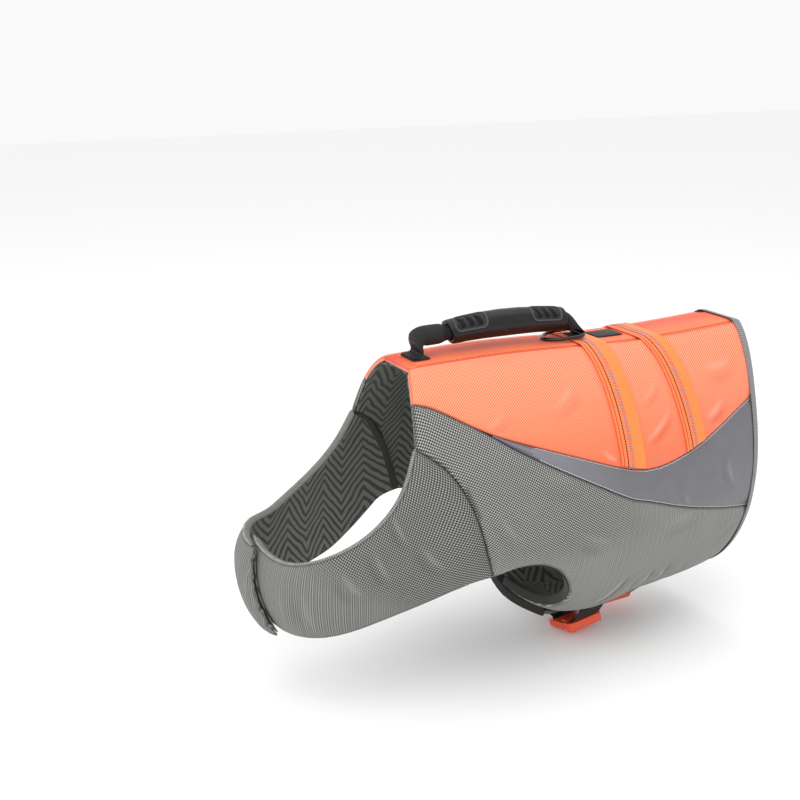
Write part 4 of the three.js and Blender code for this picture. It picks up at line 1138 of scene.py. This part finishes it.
def ring_to(before, after):
    """Extrudes the selected ring to a new x, height, radius and tilt."""
    (x0, z0, r0, tilt0), (x1, z1, r1, tilt1) = before, after
    step = ((x1 - x0) * MM, 0, (z1 - z0) * MM)
    bpy.ops.mesh.extrude_region_move(TRANSFORM_OT_translate={"value": step})
    centre = (x1 * MM, 0, z1 * MM)
    bpy.ops.transform.resize(value=(r1 / r0,) * 3, center_override=centre)
    bpy.ops.transform.rotate(value=tilt1 - tilt0, orient_axis="Y", center_override=centre)


def grip_relief(x, turn):
    """Raised and sunk amounts in millimetres, and 1 inside a slot."""
    raised = sunk = pocket = 0
    for middle in (-114, -23):
        ahead, down = x - middle, turn - SLOT_TURN
        beyond = abs(ahead) - 12, abs(down) - 4
        edge = math.hypot(max(beyond[0], 0), max(beyond[1], 0)) + min(max(beyond), 0) - 6
        raised += 0.9 * math.exp(-((edge / 0.9) ** 2))
        sunk += 0.6 * smooth_step(-edge, 0.8, 1.8)
        for place in (-9.6, 0, 9.6):
            aside = ahead - place - 0.25 * down
            slot = math.hypot(aside, max(abs(down) - 4.6, 0)) - 2.9
            depth = smooth_step(-slot, -0.4, 1.0)
            sunk += 2.8 * depth
            pocket += depth
    around = math.hypot((x + 58) / 18, (turn - OVAL_TURN) / 7)
    sunk += 0.55 * math.exp(-(((around - 1) * 9 / 0.6) ** 2))
    along = min(abs(x - (place + 4 * k)) for place in (-132, -38) for k in range(8))
    sunk += 0.5 * math.exp(-(math.hypot(along, turn - 2.2 * ARC) / 0.8) ** 2)
    return raised, sunk, pocket


stations = [(x, z, r, 0) for x, z, r in reversed(GRIP_LINE[2:])]
filled = [stations[0]]
for start, end in zip(stations, stations[1:]):
    count = max(1, round(abs(end[0] - start[0]) / 3))
    filled += [tuple(a + (b - a) * k / count for a, b in zip(start, end)) for k in range(1, count + 1)]
HEAD_STEPS = 5
body, head = filled[-1], (-134.6, 32.9, 13.1, -FRONT_TILT)
shares = [k / HEAD_STEPS for k in range(1, HEAD_STEPS + 1)]
filled += [tuple(a + (b - a) * share for a, b in zip(body, head)) for share in shares]
front_face = ((-136, 32.6, 12.4), (-135.8, 32.6, BORE + 0.6), (-134, 32.8, BORE))
filled += [(*station, -FRONT_TILT) for station in front_face]
filled += [(x, z, BORE, 0) for x, z, _ in GRIP_LINE[2:-2]]
filled += [(1, 32.3, BORE, 0), (2.5, 32.1, BORE + 0.6, 0)]
bpy.ops.object.select_all(action="DESELECT")
x, z, radius, _ = filled[0]
upright = {"location": (x * MM, 0, z * MM), "rotation": (0, math.pi / 2, 0)}
bpy.ops.mesh.primitive_circle_add(vertices=40, radius=radius * MM, **upright)
grip = bpy.context.object
grip.name = "grip_moulding"
bpy.ops.object.transform_apply(location=True, rotation=True)
bpy.ops.object.mode_set(mode="EDIT")
bpy.ops.mesh.select_all(action="SELECT")
for before, after in zip(filled, filled[1:]):
    ring_to(before, after)
bpy.ops.mesh.select_mode(type="EDGE")
bpy.ops.mesh.select_all(action="DESELECT")
bpy.ops.mesh.select_non_manifold()
bpy.ops.mesh.bridge_edge_loops()
bpy.ops.mesh.select_all(action="SELECT")
bpy.ops.mesh.normals_make_consistent(inside=False)
bpy.ops.mesh.select_mode(type="VERT")
bpy.ops.object.mode_set(mode="OBJECT")
applied(grip, "SUBSURF", levels=2, render_levels=2)
relief = []
for vertex in grip.data.vertices:
    x, y, z = vertex.co / MM
    height, _ = on_grip(x)
    outside = math.hypot(y, z - height) > BORE + 2
    relief.append(grip_relief(x, math.atan2(-y, z - height) * ARC) if outside else (0, 0, 0))
noted(grip, "pocket", [pocket for _, _, pocket in relief])
noted(grip, "ridge", [raised for raised, _, _ in relief])
for kind, most, sign in ((0, 1.0, 1), (1, 4.0, -1)):
    group = grip.vertex_groups.new(name=("raised", "sunk")[kind])
    for k, amounts in enumerate(relief):
        if amounts[kind] > 0.01:
            group.add([k], min(amounts[kind] / most, 1), "REPLACE")
    applied(grip, "DISPLACE", vertex_group=group.name, strength=sign * most * MM, mid_level=0)
rubber = Finish("grip_rubber", Specular_IOR_Level=0.34)
pores = rubber.cloud(0.0007, 1.0)
wear = rubber.cloud(0.012)
pocket = rubber.measured("pocket")
colour = rubber.mix(wear * 0.5, shade(12, 12, 14), shade(26, 26, 29))
# Painted highlight on the raised ridges of the slot frames
colour = rubber.mix(rubber.measured("ridge").step(0.3, 1.0) * 0.7, colour, shade(96, 97, 102))
# Painted shade inside the slots: near black
colour = rubber.mix(pocket, colour, shade(2, 2, 3))
shine = wear * 0.2 + pocket * 0.4 + 0.24
GRIP_RUBBER = rubber.done(colour, height=pores, depth=0.06 * MM, strength=0.3, roughness=shine)
finished(smoothed(grip), GRIP_RUBBER, "handle_grip")


# Ring: a D bent from steel rod and enamelled glossy black. Its straight bar lies in the webbing's fold behind
# the grip, and a leash hooks on its round end.
steel = Finish("ring_steel", Roughness=0.22, Metallic=0.55, Coat_Weight=0.5, Coat_Roughness=0.1)
wear = steel.cloud(0.004)
colour = steel.mix(wear * 0.6, shade(14, 14, 15), shade(50, 50, 52))
RING_STEEL = steel.done(colour, height=wear, depth=0.05 * MM, strength=0.2, roughness=wear * 0.2 + 0.14)
ring = subdivided(copied("d_ring", "ring_rod"), 2, 0)
smoothed(ring).data.materials.append(RING_STEEL)
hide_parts("d_ring")
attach(ring, "ring")


# Tag: a bare square of soft black rubber with slightly rounded edges, sewn on the strip between the two
# bands.
tag_rubber = Finish("tag_rubber", Roughness=0.5, Specular_IOR_Level=0.3)
wear = tag_rubber.cloud(0.006)
colour = tag_rubber.mix(wear, shade(16, 16, 17), shade(38, 38, 40))
TAG_RUBBER = tag_rubber.done(colour, height=wear, depth=0.1 * MM)
tag = copied("side_tag", "tag_patch")
applied(tag, "BEVEL", width=0.35 * MM, segments=3, limit_method="ANGLE")
finished(smoothed(tag), TAG_RUBBER, "side_tag")


# Belly straps and buckles: black webbing sewn to each flap, with its end in the slot of its buckle half. Each
# pair of straps meets in a squeeze buckle of orange plastic.
plastic = Finish("buckle_plastic", Roughness=0.38, Coat_Weight=0.15)
wear = plastic.cloud(0.01)
colour = plastic.mix(wear * 0.5, shade(226, 70, 32), shade(242, 98, 52))
BUCKLE_PLASTIC = plastic.done(colour, height=plastic.cloud(0.001), depth=0.05 * MM, strength=0.2)
STRAP_WIDTH = 0.035
STRAP_LENGTHS = {"left_front": 0.070, "right_front": 0.086, "left_rear": 0.080, "right_rear": 0.070}
for place in ("front", "rear"):
    for part in ("socket", "plug"):
        node = f"buckle_{part}_{place}"
        buckle = copied(node, f"{part}_{place}")
        edges = {"limit_method": "ANGLE", "angle_limit": math.radians(30)}
        applied(buckle, "BEVEL", width=1.0 * MM, segments=3, **edges)
        only(buckle)
        bpy.ops.object.shade_smooth_by_angle(angle=math.radians(40))
        finished(buckle, BUCKLE_PLASTIC, node)
    for name in SIDE_SIGNS:
        node = f"strap_{name}_{place}"
        strap = subdivided(copied(node, f"strap_webbing_{name}_{place}"), 2, 0.85)
        laid_out(strap, lambda co: (co.y - co.z, co.x))
        finished(smoothed(strap), BLACK_WEBBING, node)
        flat = (STRAP_WIDTH, STRAP_LENGTHS[f"{name}_{place}"])
